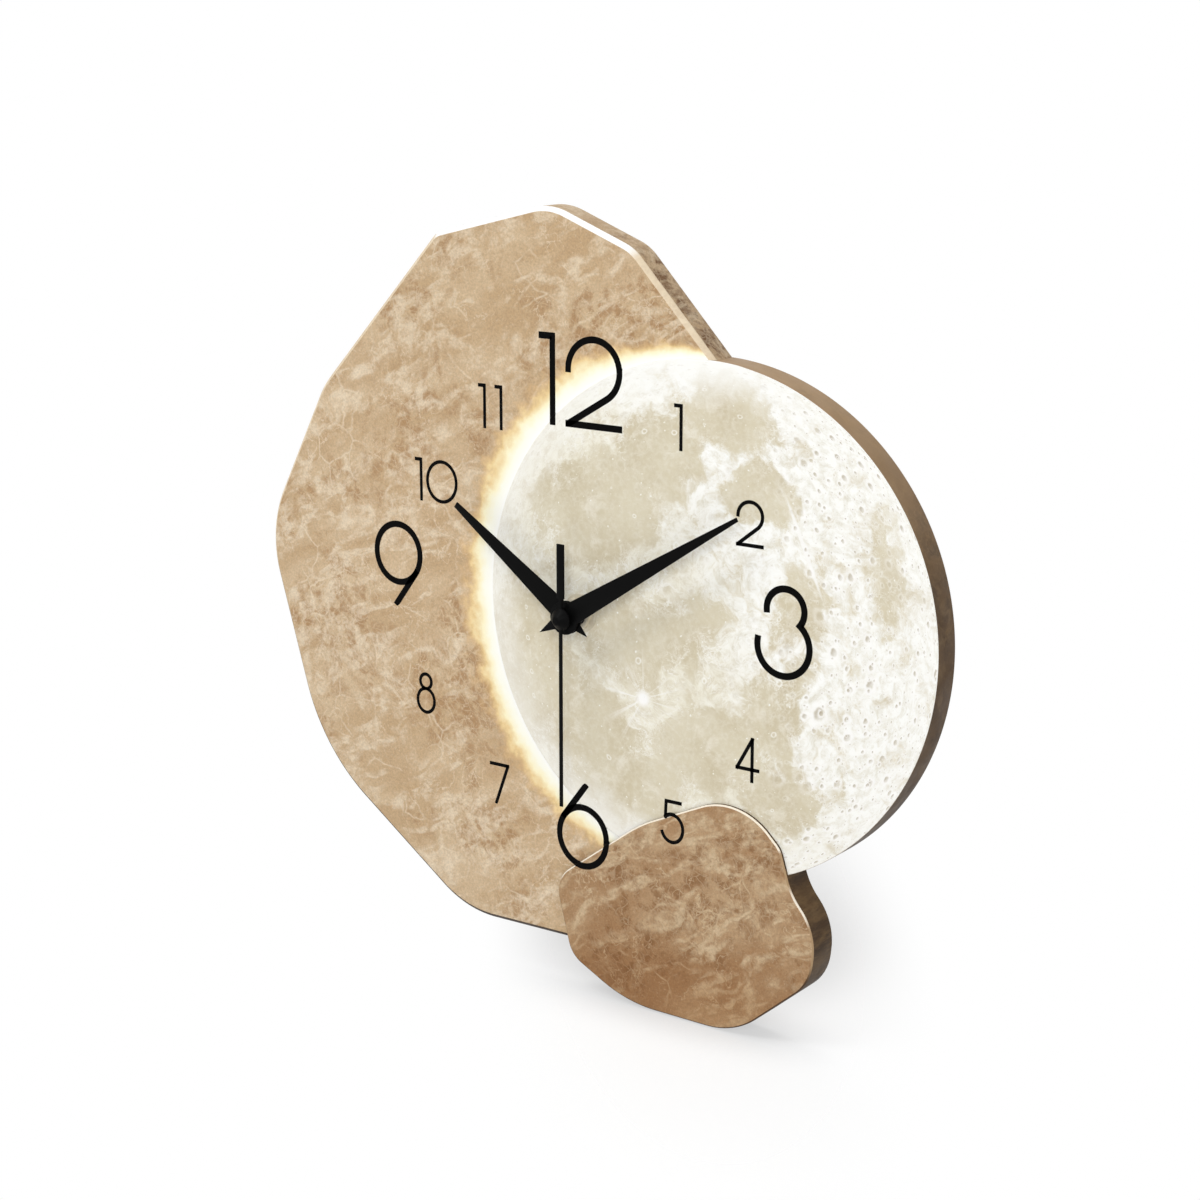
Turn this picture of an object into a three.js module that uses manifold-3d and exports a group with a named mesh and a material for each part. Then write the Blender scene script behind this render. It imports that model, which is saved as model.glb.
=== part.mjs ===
// Wall clock of three nested boards: a stone-look slab, a round moon board and a darker pebble board,
// held on one backing plate, with a quartz movement let into the moon board and three hands.
// Millimetres, +Z up. The wall is the plane y = 0 and the clock faces -Y.
// Places are measured from the hand axis; the whole clock is then moved so that the origin is the hook point.
import * as THREE from 'three';
import { mergeVertices } from 'three/addons/utils/BufferGeometryUtils.js';
import Module from 'manifold-3d';

const wasm = await Module();
wasm.setup();

// Driving dimensions of the boards. A corner is [x, z, rounding radius], counter-clockwise from the front.
const BOARD_THICKNESS = 12;
const MOON_RADIUS = 97.5;
const MOON_X = 55;
const MOON_Z = 3.8;
const MOON_RAISE = 0.6;
const PEBBLE_RAISE = 2;
const SLAB_BEVEL = 1.6;
const PEBBLE_BEVEL = 0.8;
const SEAM = 0.3;
const SLAB_CORNERS = [
  [-15, 153.5, 26], [-69.5, 140, 9], [-129.5, 75.5, 41], [-162.5, 12.5, 48], [-135.5, -79, 83],
  [-59, -134, 45], [0, -133.5, 2], [60, -115, 2], [70, 89.5, 2], [23, 139, 20],
];
const PEBBLE_CORNERS = [
  [-12, -109, 12.5], [-4, -139.5, 12], [22.5, -153, 56.5], [72, -153.5, 33.5],
  [105, -125.5, 20.5], [107, -105, 24], [96, -92, 26], [91, -76, 9], [73, -58.5, 26.5], [29, -78.5, 67],
];
const MOON_SEGMENTS = 120;
const CORNER_STEPS = 8;
const SMALL_CORNER_STEPS = 3;

// Backing plate, wall pads and saw-tooth hanger.
const PLATE_THICKNESS = 3;
const PLATE_INSET = 20;
const PLATE_NECK_RADIUS = 30;
const PAD_THICKNESS = 5.6;
const PAD_RADIUS = 9;
const PAD_TAPER = 0.7;
const PAD_SETBACK = 42;
const HANGER_X = -1.5;
const HANGER_Z = 104;
const HANGER_LENGTH = 40;
const HANGER_HEIGHT = 9;
const HANGER_GAUGE = 0.8;
const HANGER_FOOT = 7;
const HANGER_LIFT = 2.6;
const HANGER_RAMP = 3;
const HANGER_TOOTH_PITCH = 3.2;
const HANGER_TOOTH_DEPTH = 1.8;
const HANGER_TEETH = 5;

// Quartz movement: a square case let into the back of the moon board.
const CASE_WIDTH = 56;
const CASE_ABOVE_AXIS = 24;
const CASE_BELOW_AXIS = 32;
const CASE_DEPTH = 15.4;
const CASE_CORNER = 4;
const CASE_WALL = 1.4;
const COVER_THICKNESS = 1.4;
const COVER_LIP = 1;
const COVER_LIP_WALL = 0.9;
const POCKET_CLEARANCE = 1;
const WEB_THICKNESS = 4.4;
const RUBBER_THICKNESS = 0.8;
const RUBBER_RADIUS = 9;
const STEM_RADIUS = 4;
const STEM_BORE = 2.8;
const STEM_HOLE_CLEARANCE = 0.4;
const STEM_PAST_NUT = 0.5;
const WASHER_THICKNESS = 0.5;
const WASHER_RADIUS = 7.5;
const NUT_HEIGHT = 2.4;
const NUT_FLATS = 11;
const NUT_SIDES = 6;
const THREAD_CLEARANCE = 0.2;
const SMALL_GAP = 0.3;

// Battery bay below the wheels, with a cell lying across it and a spring contact at each end.
const CELL_RADIUS = 7.1;
const CELL_NUB_RADIUS = 2.7;
const CELL_NUB_LENGTH = 1.5;
const CELL_SEAT_GAP = 0.2;
const CELL_END_ROOM = 0.75;
const BAY_CLEARANCE = 0.5;
const CONTACT_GAUGE = 0.4;
const CELL_LENGTH = CASE_WIDTH - 2 * (CASE_WALL + CELL_SEAT_GAP + CONTACT_GAUGE + CELL_END_ROOM);
const CONTACT_HEIGHT = 11;
const CONTACT_WIDTH = 9;
const CONTACT_DIMPLE_RADIUS = 2.2;
const CONTACT_RISER_WIDTH = 2.8;

// Wheel train. Modules set the tooth size; wheels on one pair of axes share the centre distance.
const SECONDS_PINION_TEETH = 8;
const THIRD_WHEEL_TEETH = 60;
const THIRD_PINION_TEETH = 8;
const CENTRE_WHEEL_TEETH = 64;
const THIRD_MODULE = 0.36;
const CANNON_TEETH = 12;
const MINUTE_WHEEL_TEETH = 36;
const MINUTE_PINION_TEETH = 10;
const HOUR_WHEEL_TEETH = 40;
const HOUR_MODULE = 0.4;
const KNOB_PINION_TEETH = 12;
const SECONDS_WHEEL_TEETH = 40;
const STEP_PINION_TEETH = 8;
const STEP_MODULE = 0.54;
const STEP_WHEEL_TEETH = 48;
const ROTOR_PINION_TEETH = 8;
const ROTOR_MODULE = 0.3;
const THIRD_BEARING = 170;
const MINUTE_WHEEL_BEARING = -10;
const KNOB_BEARING = -17;
const STEP_BEARING = 52;
const ROTOR_BEARING = 10;
const WHEEL_THICKNESS = 0.8;
const LAYER_GAP = 0.8;
const PINION_OVERHANG = 0.2;
const PIVOT_RADIUS = 0.45;
const PIVOT_GAP = 0.17;
const PIVOT_DEPTH = 1;
const BOSS_RADIUS = 1.5;
const BOSS_HEIGHT = 0.9;
const POST_RADIUS = 1.6;
const BRIDGE_THICKNESS = 1;
const BRIDGE_MARGIN = 0.8;
const MINUTE_POST_RADIUS = 0.9;
const MINUTE_ARBOR_BORE = 0.75;
const MINUTE_ARBOR_RADIUS = 1.6;
const HOUR_TUBE_BORE = 1.85;
const HOUR_TUBE_RADIUS = 2.55;
const KNOB_RADIUS = 4.6;
const KNOB_HEIGHT = 2.2;
const KNOB_HUB_RADIUS = 2.2;
const KNOB_RECESS = 0.3;
const KNOB_FLUTES = 14;
const KNOB_FLUTE_DEPTH = 0.35;
const KNOB_LAND_SHARE = 0.5;
const KNOB_FLUTE_START_SHARE = 0.65;
const KNOB_FLUTE_END_SHARE = 0.85;
const MAGNET_RADIUS = 2.6;
const MAGNET_LENGTH = 2.8;
const STATOR_GAUGE = 0.8;
const STATOR_RING_WIDTH = 2.1;
const STATOR_GAP = 0.5;
const STATOR_BAR_WIDTH = 3;
const CORE_WIDTH = 1.6;
const COIL_LENGTH = 20;
const COIL_FLANGE_RADIUS = 4.2;
const COIL_FLANGE_WIDTH = 0.8;
const COIL_WINDING_RADIUS = 3.5;
const COIL_BORE = 1.3;
const COIL_END_GAP = 5;
const BOARD_HEIGHT = 7.4;
const BOARD_GAUGE = 1;
const CRYSTAL_RADIUS = 1;
const CRYSTAL_LENGTH = 6;

// Hands. Depths are from the slab's face to the front of each hand; angles are clockwise from 12.
const HAND_GAUGE = 0.6;
const HOUR_HAND_STAND = 9.5;
const MINUTE_HAND_STAND = 11.5;
const SECOND_HAND_STAND = 13.7;
const HOUR_HAND_LENGTH = 65;
const MINUTE_HAND_LENGTH = 90;
const SECOND_HAND_LENGTH = 74;
const HOUR_TAIL = 11;
const MINUTE_TAIL = 13.6;
const SECOND_TAIL = 29;
const HOUR_TIP_WIDTH = 2.4;
const MINUTE_TIP_WIDTH = 1.6;
const BLADE_WIDTH = 8.6;
const BLADE_SHOULDER = 5;
const TAIL_WIDTH = 7;
const HAND_HUB_RADIUS = 6.4;
const COLLET_WALL = 1.3;
const COLLET_GAP = 0.12;
const NEEDLE_WIDTH = 1.5;
const COUNTERWEIGHT_WIDTH = 3.4;
const COUNTERWEIGHT_START = 8;
const CAP_RADIUS = 4.2;
const CAP_TIP_RADIUS = 1.5;
const CAP_HEIGHT = 3;
const HOUR_ANGLE = 304.8;
const MINUTE_ANGLE = 58.2;
const SECOND_ANGLE = 180;

const ROUND_SEGMENTS = 24;
const PIVOT_SEGMENTS = 10;
const BITE = 0.2;
const THROUGH = 1;

// Depths worked out from the wall forwards.
const PLATE_BACK = -PAD_THICKNESS;
const BOARD_BACK = PLATE_BACK - PLATE_THICKNESS;
const SLAB_FRONT = BOARD_BACK - BOARD_THICKNESS;
const MOON_FRONT = SLAB_FRONT - MOON_RAISE;
const PEBBLE_FRONT = SLAB_FRONT - PEBBLE_RAISE;
const POCKET_FLOOR = MOON_FRONT + WEB_THICKNESS;
const CASE_FRONT = POCKET_FLOOR + RUBBER_THICKNESS;
const CASE_BACK = CASE_FRONT + CASE_DEPTH;
const CASE_FLOOR = CASE_FRONT + CASE_WALL;
const COVER_FRONT = CASE_BACK - COVER_THICKNESS;
const WASHER_FRONT = MOON_FRONT - WASHER_THICKNESS;
const NUT_FRONT = WASHER_FRONT - NUT_HEIGHT;
const STEM_FRONT = NUT_FRONT - STEM_PAST_NUT;
const HOUR_HAND_FRONT = SLAB_FRONT - HOUR_HAND_STAND;
const MINUTE_HAND_FRONT = SLAB_FRONT - MINUTE_HAND_STAND;
const SECOND_HAND_FRONT = SLAB_FRONT - SECOND_HAND_STAND;

const radians = THREE.MathUtils.degToRad;
const FULL_TURN = 2 * Math.PI;

// Geometry helpers: closed bodies, joins and cuts.
function signedVolume(position, index) {
  const a = new THREE.Vector3();
  const b = new THREE.Vector3();
  const c = new THREE.Vector3();
  let total = 0;
  for (let i = 0; i < index.length; i += 3) {
    a.fromBufferAttribute(position, index[i]);
    b.fromBufferAttribute(position, index[i + 1]);
    c.fromBufferAttribute(position, index[i + 2]);
    total += a.dot(b.cross(c)) / 6;
  }
  return total;
}

function closedGeometry(source) {
  const bare = source.clone();
  bare.deleteAttribute('normal');
  bare.deleteAttribute('uv');
  const merged = mergeVertices(bare, 1e-4);
  const corners = merged.index.array;
  const kept = [];
  for (let i = 0; i < corners.length; i += 3) {
    const [a, b, c] = [corners[i], corners[i + 1], corners[i + 2]];
    if (a !== b && b !== c && c !== a) kept.push(a, b, c);
  }
  if (signedVolume(merged.attributes.position, kept) < 0) kept.reverse();
  merged.setIndex(kept);
  return merged;
}

function toSolid(geometry) {
  const closed = closedGeometry(geometry);
  const vertProperties = new Float32Array(closed.attributes.position.array);
  const triVerts = new Uint32Array(closed.index.array);
  return new wasm.Manifold(new wasm.Mesh({ numProp: 3, vertProperties, triVerts }));
}

function toGeometry(solid) {
  const mesh = solid.getMesh();
  const geometry = new THREE.BufferGeometry();
  geometry.setAttribute('position', new THREE.BufferAttribute(new Float32Array(mesh.vertProperties), 3));
  geometry.setIndex(new THREE.BufferAttribute(new Uint32Array(mesh.triVerts), 1));
  return geometry;
}

function join(...pieces) {
  return toGeometry(pieces.map(toSolid).reduce((whole, piece) => whole.add(piece)));
}

function hullOf(...pieces) {
  return toGeometry(wasm.Manifold.hull(pieces.map(toSolid)));
}

function cut(base, ...tools) {
  return toGeometry(tools.map(toSolid).reduce((rest, tool) => rest.subtract(tool), toSolid(base)));
}

// Outlines in the face plane, as points (x, z). A corner may stand out or, where the outline turns back, be hollow.
function offsetCorners(corners, distance) {
  return corners.map(([x, z, radius], i) => {
    const before = corners.at(i - 1);
    const after = corners[(i + 1) % corners.length];
    const normalIn = new THREE.Vector2(z - before[1], before[0] - x).normalize();
    const normalOut = new THREE.Vector2(after[1] - z, x - after[0]).normalize();
    const shift = normalIn.clone().add(normalOut).multiplyScalar(distance / (1 + normalIn.dot(normalOut)));
    const bend = Math.sign(normalIn.cross(normalOut));
    return [x + shift.x, z + shift.y, Math.max(radius + bend * distance, SEAM)];
  });
}

function roundedOutline(corners, steps = CORNER_STEPS) {
  return corners.flatMap(([x, z, radius], i) => {
    const before = corners.at(i - 1);
    const after = corners[(i + 1) % corners.length];
    const corner = new THREE.Vector2(x, z);
    const toBefore = new THREE.Vector2(before[0] - x, before[1] - z).normalize();
    const toAfter = new THREE.Vector2(after[0] - x, after[1] - z).normalize();
    const half = Math.acos(toBefore.dot(toAfter)) / 2;
    const bisector = toBefore.clone().add(toAfter).normalize();
    const centre = corner.clone().addScaledVector(bisector, radius / Math.sin(half));
    const start = corner.clone().addScaledVector(toBefore, radius / Math.tan(half)).sub(centre);
    const turn = (Math.PI - 2 * half) * Math.sign(toAfter.cross(toBefore));
    return Array.from({ length: steps + 1 }, (_, k) => {
      const spoke = start.clone().rotateAround(new THREE.Vector2(), (turn * k) / steps);
      return spoke.add(centre);
    });
  });
}

const smallOutline = (corners) => roundedOutline(corners, SMALL_CORNER_STEPS);

function boxCorners(left, bottom, right, top, radius) {
  return [[right, top, radius], [left, top, radius], [left, bottom, radius], [right, bottom, radius]];
}

function circle(x, z, radius, segments = ROUND_SEGMENTS) {
  return Array.from({ length: segments }, (_, k) => {
    const angle = (FULL_TURN * k) / segments;
    return new THREE.Vector2(x + radius * Math.cos(angle), z + radius * Math.sin(angle));
  });
}

// A flat piece with its outline in the face plane, from its front depth to its back depth.
function plate(outline, front, back, holes = []) {
  const shape = new THREE.Shape(outline);
  holes.forEach((hole) => shape.holes.push(new THREE.Path(hole)));
  const geometry = new THREE.ExtrudeGeometry(shape, { depth: back - front, bevelEnabled: false });
  return geometry.rotateX(Math.PI / 2).translate(0, back, 0);
}

// A board whose front edge is bevelled: rings of matching points joined from front to back.
function bevelledBoard(corners, bevel, front, back) {
  const rings = [
    [roundedOutline(offsetCorners(corners, -bevel)), front],
    [roundedOutline(corners), front + bevel],
    [roundedOutline(corners), back],
  ];
  const count = rings[0][0].length;
  const position = rings.flatMap(([points, y]) => points.flatMap((p) => [p.x, y, p.y]));
  const index = [];
  for (let ring = 0; ring + 1 < rings.length; ring += 1) {
    for (let k = 0; k < count; k += 1) {
      const a = ring * count + k;
      const b = ring * count + ((k + 1) % count);
      index.push(a, b, b + count, a, b + count, a + count);
    }
  }
  const faces = THREE.ShapeUtils.triangulateShape(rings[0][0], []);
  const last = (rings.length - 1) * count;
  faces.forEach(([a, b, c]) => {
    index.push(c, b, a);
    index.push(last + a, last + b, last + c);
  });
  const geometry = new THREE.BufferGeometry();
  geometry.setAttribute('position', new THREE.Float32BufferAttribute(position, 3));
  geometry.setIndex(index);
  return geometry;
}

// A turned piece on an axis along Y at (x, z), from a profile of [radius, y].
function turned(profile, x = 0, z = 0, segments = ROUND_SEGMENTS) {
  const points = profile.map(([radius, y]) => new THREE.Vector2(radius, y));
  return new THREE.LatheGeometry(points, segments).translate(x, 0, z);
}

function rod(radius, front, back, x = 0, z = 0, segments = ROUND_SEGMENTS) {
  return turned([[0, front], [radius, front], [radius, back], [0, back]], x, z, segments);
}

function tube(bore, radius, front, back, x = 0, z = 0) {
  return turned([[bore, front], [radius, front], [radius, back], [bore, back], [bore, front]], x, z);
}

function block(left, right, front, back, bottom, top) {
  const geometry = new THREE.BoxGeometry(right - left, back - front, top - bottom);
  return geometry.translate((left + right) / 2, (front + back) / 2, (bottom + top) / 2);
}

const clock = new THREE.Group();

function addPiece(name, geometry, colour, roughness, metalness = 0) {
  const material = new THREE.MeshStandardMaterial({ color: colour, roughness, metalness });
  const mesh = new THREE.Mesh(closedGeometry(geometry), material);
  mesh.name = name;
  clock.add(mesh);
  return mesh;
}

// Movement case outline, shared by the case, its cover, the pocket and the plate's window.
const CASE_HALF = CASE_WIDTH / 2;
const CASE_CORNERS = boxCorners(-CASE_HALF, -CASE_BELOW_AXIS, CASE_HALF, CASE_ABOVE_AXIS, CASE_CORNER);
const POCKET_OUTLINE = smallOutline(offsetCorners(CASE_CORNERS, POCKET_CLEARANCE));

// Boards: the slab is cut back for the moon and the pebble, the moon for the pebble.
const moonDisc = (extra, segments = MOON_SEGMENTS) => circle(MOON_X, MOON_Z, MOON_RADIUS + extra, segments);
const pebbleOutline = (extra) => roundedOutline(offsetCorners(PEBBLE_CORNERS, extra));
const moonCutter = plate(moonDisc(SEAM), PEBBLE_FRONT - THROUGH, BOARD_BACK + THROUGH);
const pebbleCutter = plate(pebbleOutline(SEAM), PEBBLE_FRONT - THROUGH, BOARD_BACK + THROUGH);
const pocket = plate(POCKET_OUTLINE, POCKET_FLOOR, BOARD_BACK + THROUGH);
const stemHole = rod(STEM_RADIUS + STEM_HOLE_CLEARANCE, MOON_FRONT - THROUGH, BOARD_BACK + THROUGH);

const slabBlank = bevelledBoard(SLAB_CORNERS, SLAB_BEVEL, SLAB_FRONT, BOARD_BACK);
addPiece('slab_board', cut(slabBlank, moonCutter, pebbleCutter, pocket), 0xc8ab86, 0.55);
const moonBlank = plate(moonDisc(0), MOON_FRONT, BOARD_BACK);
addPiece('moon_board', cut(moonBlank, pebbleCutter, pocket, stemHole), 0xe6e1d2, 0.55);
const pebbleBlank = bevelledBoard(PEBBLE_CORNERS, PEBBLE_BEVEL, PEBBLE_FRONT, BOARD_BACK);
addPiece('pebble_board', pebbleBlank, 0xae8b68, 0.55);

// Backing plate: follows the three boards, set in from their edges, with a window for the movement.
const plateOf = (outline) => plate(outline, BOARD_BACK, PLATE_BACK);
const plateBlank = join(
  plateOf(roundedOutline(offsetCorners(SLAB_CORNERS, -PLATE_INSET))),
  plateOf(moonDisc(-PLATE_INSET, MOON_SEGMENTS / 2)),
  hullOf(plateOf(pebbleOutline(-PLATE_INSET)), plateOf(circle(MOON_X, MOON_Z, PLATE_NECK_RADIUS))),
);
const plateWindow = plate(POCKET_OUTLINE, BOARD_BACK - THROUGH, PLATE_BACK + THROUGH);
addPiece('backing_plate', cut(plateBlank, plateWindow), 0x8a6a4a, 0.8);

// Wall pads: two set back from slab corners, one on the moon side and one on the pebble.
function setBack(x, z) {
  const reach = Math.hypot(x, z);
  return [(x * (reach - PAD_SETBACK)) / reach, (z * (reach - PAD_SETBACK)) / reach];
}
const padPlaces = {
  wall_pad_upper_left: setBack(...SLAB_CORNERS[2]),
  wall_pad_lower_left: setBack(...SLAB_CORNERS[4]),
  wall_pad_right: setBack(MOON_X + MOON_RADIUS, MOON_Z),
  wall_pad_bottom: setBack(...PEBBLE_CORNERS[3]),
};
Object.entries(padPlaces).forEach(([name, [x, z]]) => {
  const profile = [[0, PLATE_BACK], [PAD_RADIUS, PLATE_BACK], [PAD_RADIUS - PAD_TAPER, 0], [0, 0]];
  addPiece(name, turned(profile, x, z), 0x2b2a29, 0.9);
});

// Saw-tooth hanger: a bent strip standing off the plate, with teeth along the lower edge of its middle.
const hangerFront = PLATE_BACK;
const hangerHalf = HANGER_LENGTH / 2;
const hangerFootEnd = hangerHalf - HANGER_FOOT;
const hangerRaisedEnd = hangerFootEnd - HANGER_RAMP;
const hangerSide = [
  [hangerHalf, 0], [hangerFootEnd, 0], [hangerRaisedEnd, HANGER_LIFT],
  [-hangerRaisedEnd, HANGER_LIFT], [-hangerFootEnd, 0], [-hangerHalf, 0],
  [-hangerHalf, HANGER_GAUGE], [-hangerFootEnd, HANGER_GAUGE], [-hangerRaisedEnd, HANGER_LIFT + HANGER_GAUGE],
  [hangerRaisedEnd, HANGER_LIFT + HANGER_GAUGE], [hangerFootEnd, HANGER_GAUGE], [hangerHalf, HANGER_GAUGE],
];
const hangerShape = new THREE.Shape(hangerSide.map(([x, y]) => new THREE.Vector2(x, y)));
const hangerBottom = HANGER_Z - HANGER_HEIGHT / 2;
const hangerStrip = new THREE.ExtrudeGeometry(hangerShape, { depth: HANGER_HEIGHT, bevelEnabled: false })
  .translate(HANGER_X, hangerFront, hangerBottom);
const hangerTeeth = Array.from({ length: HANGER_TEETH }, (_, k) => {
  const middle = HANGER_X + (k - (HANGER_TEETH - 1) / 2) * HANGER_TOOTH_PITCH;
  const notch = [
    new THREE.Vector2(middle - HANGER_TOOTH_PITCH / 2, hangerBottom - THROUGH),
    new THREE.Vector2(middle + HANGER_TOOTH_PITCH / 2, hangerBottom - THROUGH),
    new THREE.Vector2(middle, hangerBottom + HANGER_TOOTH_DEPTH),
  ];
  return plate(notch, hangerFront - THROUGH, 0);
});
addPiece('hanger', cut(hangerStrip, ...hangerTeeth), 0xb9bcc0, 0.35, 0.9);

// Wheel layers, each one wheel thick, from the case floor backwards.
const layerFront = (layer) => CASE_FLOOR + SMALL_GAP + layer * (WHEEL_THICKNESS + LAYER_GAP);
const HOUR_LAYER = 0;
const MINUTE_LAYER = 1;
const CENTRE_LAYER = 2;
const THIRD_LAYER = 3;
const SECONDS_LAYER = 4;
const STEP_LAYER = 5;
const BRIDGE_FRONT = layerFront(STEP_LAYER + 1);
const BRIDGE_BACK = BRIDGE_FRONT + BRIDGE_THICKNESS;

// Wheel axes, from the modules and tooth counts.
const centreDistance = (module, teeth, mates) => (module * (teeth + mates)) / 2;
const sharedModule = (distance, teeth, mates) => (2 * distance) / (teeth + mates);
function placeFrom(origin, distance, bearing) {
  const angle = radians(bearing);
  return { x: origin.x + distance * Math.cos(angle), z: origin.z + distance * Math.sin(angle) };
}
const handAxis = { x: 0, z: 0 };
const thirdDistance = centreDistance(THIRD_MODULE, SECONDS_PINION_TEETH, THIRD_WHEEL_TEETH);
const centreModule = sharedModule(thirdDistance, THIRD_PINION_TEETH, CENTRE_WHEEL_TEETH);
const thirdAxis = placeFrom(handAxis, thirdDistance, THIRD_BEARING);
const motionDistance = centreDistance(HOUR_MODULE, MINUTE_PINION_TEETH, HOUR_WHEEL_TEETH);
const minuteModule = sharedModule(motionDistance, CANNON_TEETH, MINUTE_WHEEL_TEETH);
const minuteWheelAxis = placeFrom(handAxis, motionDistance, MINUTE_WHEEL_BEARING);
const knobDistance = centreDistance(minuteModule, MINUTE_WHEEL_TEETH, KNOB_PINION_TEETH);
const knobAxis = placeFrom(minuteWheelAxis, knobDistance, KNOB_BEARING);
const stepDistance = centreDistance(STEP_MODULE, SECONDS_WHEEL_TEETH, STEP_PINION_TEETH);
const stepAxis = placeFrom(handAxis, stepDistance, STEP_BEARING);
const rotorDistance = centreDistance(ROTOR_MODULE, STEP_WHEEL_TEETH, ROTOR_PINION_TEETH);
const rotorAxis = placeFrom(stepAxis, rotorDistance, ROTOR_BEARING);

// Teeth: straight flanks with backlash. Phase is the angle of one tooth's middle.
const ADDENDUM = 0.75;
const DEDENDUM = 1.15;
const ROOT_SHARE = 0.31;
const TIP_SHARE = 0.11;

function gear(axis, module, teeth, phase = 0) {
  return { axis, module, teeth, phase };
}

// A gear turned so that it meshes with its driver on the line between their axes.
function meshed(driver, axis, module, teeth) {
  const bearing = Math.atan2(axis.z - driver.axis.z, axis.x - driver.axis.x);
  const driverShare = ((bearing - driver.phase) * driver.teeth) / FULL_TURN;
  const phase = bearing + Math.PI - ((0.5 - driverShare) * FULL_TURN) / teeth;
  return gear(axis, module, teeth, phase);
}

function gearOutline({ axis, module, teeth, phase }) {
  const pitchRadius = (module * teeth) / 2;
  const tipRadius = pitchRadius + ADDENDUM * module;
  const rootRadius = pitchRadius - DEDENDUM * module;
  const tooth = [
    [rootRadius, -ROOT_SHARE], [tipRadius, -TIP_SHARE], [tipRadius, TIP_SHARE], [rootRadius, ROOT_SHARE],
  ];
  return Array.from({ length: teeth }, (_, k) => tooth.map(([radius, share]) => {
    const angle = phase + ((k + share) * FULL_TURN) / teeth;
    return new THREE.Vector2(axis.x + radius * Math.cos(angle), axis.z + radius * Math.sin(angle));
  })).flat();
}

const secondsPinion = gear(handAxis, THIRD_MODULE, SECONDS_PINION_TEETH);
const thirdTeeth = meshed(secondsPinion, thirdAxis, THIRD_MODULE, THIRD_WHEEL_TEETH);
const thirdPinion = gear(thirdAxis, centreModule, THIRD_PINION_TEETH);
const centreTeeth = meshed(thirdPinion, handAxis, centreModule, CENTRE_WHEEL_TEETH);
const cannonPinion = gear(handAxis, minuteModule, CANNON_TEETH);
const minuteTeeth = meshed(cannonPinion, minuteWheelAxis, minuteModule, MINUTE_WHEEL_TEETH);
const minutePinion = gear(minuteWheelAxis, HOUR_MODULE, MINUTE_PINION_TEETH);
const hourTeeth = meshed(minutePinion, handAxis, HOUR_MODULE, HOUR_WHEEL_TEETH);
const knobPinion = meshed(minuteTeeth, knobAxis, minuteModule, KNOB_PINION_TEETH);
const secondsTeeth = gear(handAxis, STEP_MODULE, SECONDS_WHEEL_TEETH);
const stepPinion = meshed(secondsTeeth, stepAxis, STEP_MODULE, STEP_PINION_TEETH);
const stepTeeth = gear(stepAxis, ROTOR_MODULE, STEP_WHEEL_TEETH);
const rotorPinion = meshed(stepTeeth, rotorAxis, ROTOR_MODULE, ROTOR_PINION_TEETH);

function wheel(teeth, layer, holes = []) {
  const front = layerFront(layer);
  return plate(gearOutline(teeth), front, front + WHEEL_THICKNESS, holes);
}

function pinion(teeth, layer) {
  const front = layerFront(layer);
  return plate(gearOutline(teeth), front - PINION_OVERHANG, front + WHEEL_THICKNESS + PINION_OVERHANG);
}

const ARBOR_FRONT = CASE_FLOOR - PIVOT_DEPTH + PIVOT_GAP;
const ARBOR_BACK = BRIDGE_BACK - PIVOT_GAP;

function arbor(axis) {
  return rod(PIVOT_RADIUS, ARBOR_FRONT, ARBOR_BACK, axis.x, axis.z, PIVOT_SEGMENTS);
}

// Movement case: a tray with a threaded stem, a battery bay, pivot bosses and posts.
const INNER_HALF = CASE_HALF - CASE_WALL;
const INNER_TOP = CASE_ABOVE_AXIS - CASE_WALL;
const BAY_BOTTOM = -CASE_BELOW_AXIS + CASE_WALL;
const BAY_TOP = BAY_BOTTOM + 2 * (CELL_RADIUS + BAY_CLEARANCE);
const TRAIN_BOTTOM = BAY_TOP + CASE_WALL;
const INNER_CORNER = CASE_CORNER - CASE_WALL;
const CONTACT_OUTER = INNER_HALF - CELL_SEAT_GAP;
const CONTACT_INNER = CONTACT_OUTER - CONTACT_GAUGE;
const CONTACT_BACK = COVER_FRONT - COVER_LIP - SMALL_GAP;
const RISER_FRONT = CONTACT_BACK - CONTACT_RISER_WIDTH;
const circuitTop = INNER_TOP - SMALL_GAP;
const circuitBottom = circuitTop - BOARD_HEIGHT;
const coilZ = circuitTop - COIL_FLANGE_RADIUS;
const bridgeTop = circuitBottom - SMALL_GAP;
const bridgeBottom = TRAIN_BOTTOM + SMALL_GAP;
const bridgeHalf = CONTACT_INNER - SMALL_GAP;
const postInset = POST_RADIUS + BRIDGE_MARGIN;
const bridgePosts = [
  [-bridgeHalf + postInset, bridgeBottom + postInset],
  [bridgeHalf - postInset, bridgeBottom + postInset],
  [-bridgeHalf + postInset, bridgeTop - postInset],
  [bridgeHalf - postInset, knobAxis.z + KNOB_RADIUS + postInset],
];
const circuitPostZ = circuitTop - POST_RADIUS;
const circuitPosts = [-1, 1].map((side) => [side * (bridgeHalf - postInset), circuitPostZ]);
const statorFront = layerFront(THIRD_LAYER) - STATOR_GAUGE;
const statorPost = [stepAxis.x + BOSS_RADIUS, coilZ];
const trainCut = plate(
  smallOutline(boxCorners(-INNER_HALF, TRAIN_BOTTOM, INNER_HALF, INNER_TOP, INNER_CORNER)),
  CASE_FLOOR,
  CASE_BACK + THROUGH,
);
const bayCut = plate(
  smallOutline(boxCorners(-INNER_HALF, BAY_BOTTOM, INNER_HALF, BAY_TOP, INNER_CORNER)),
  CASE_FLOOR,
  CASE_BACK + THROUGH,
);
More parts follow.
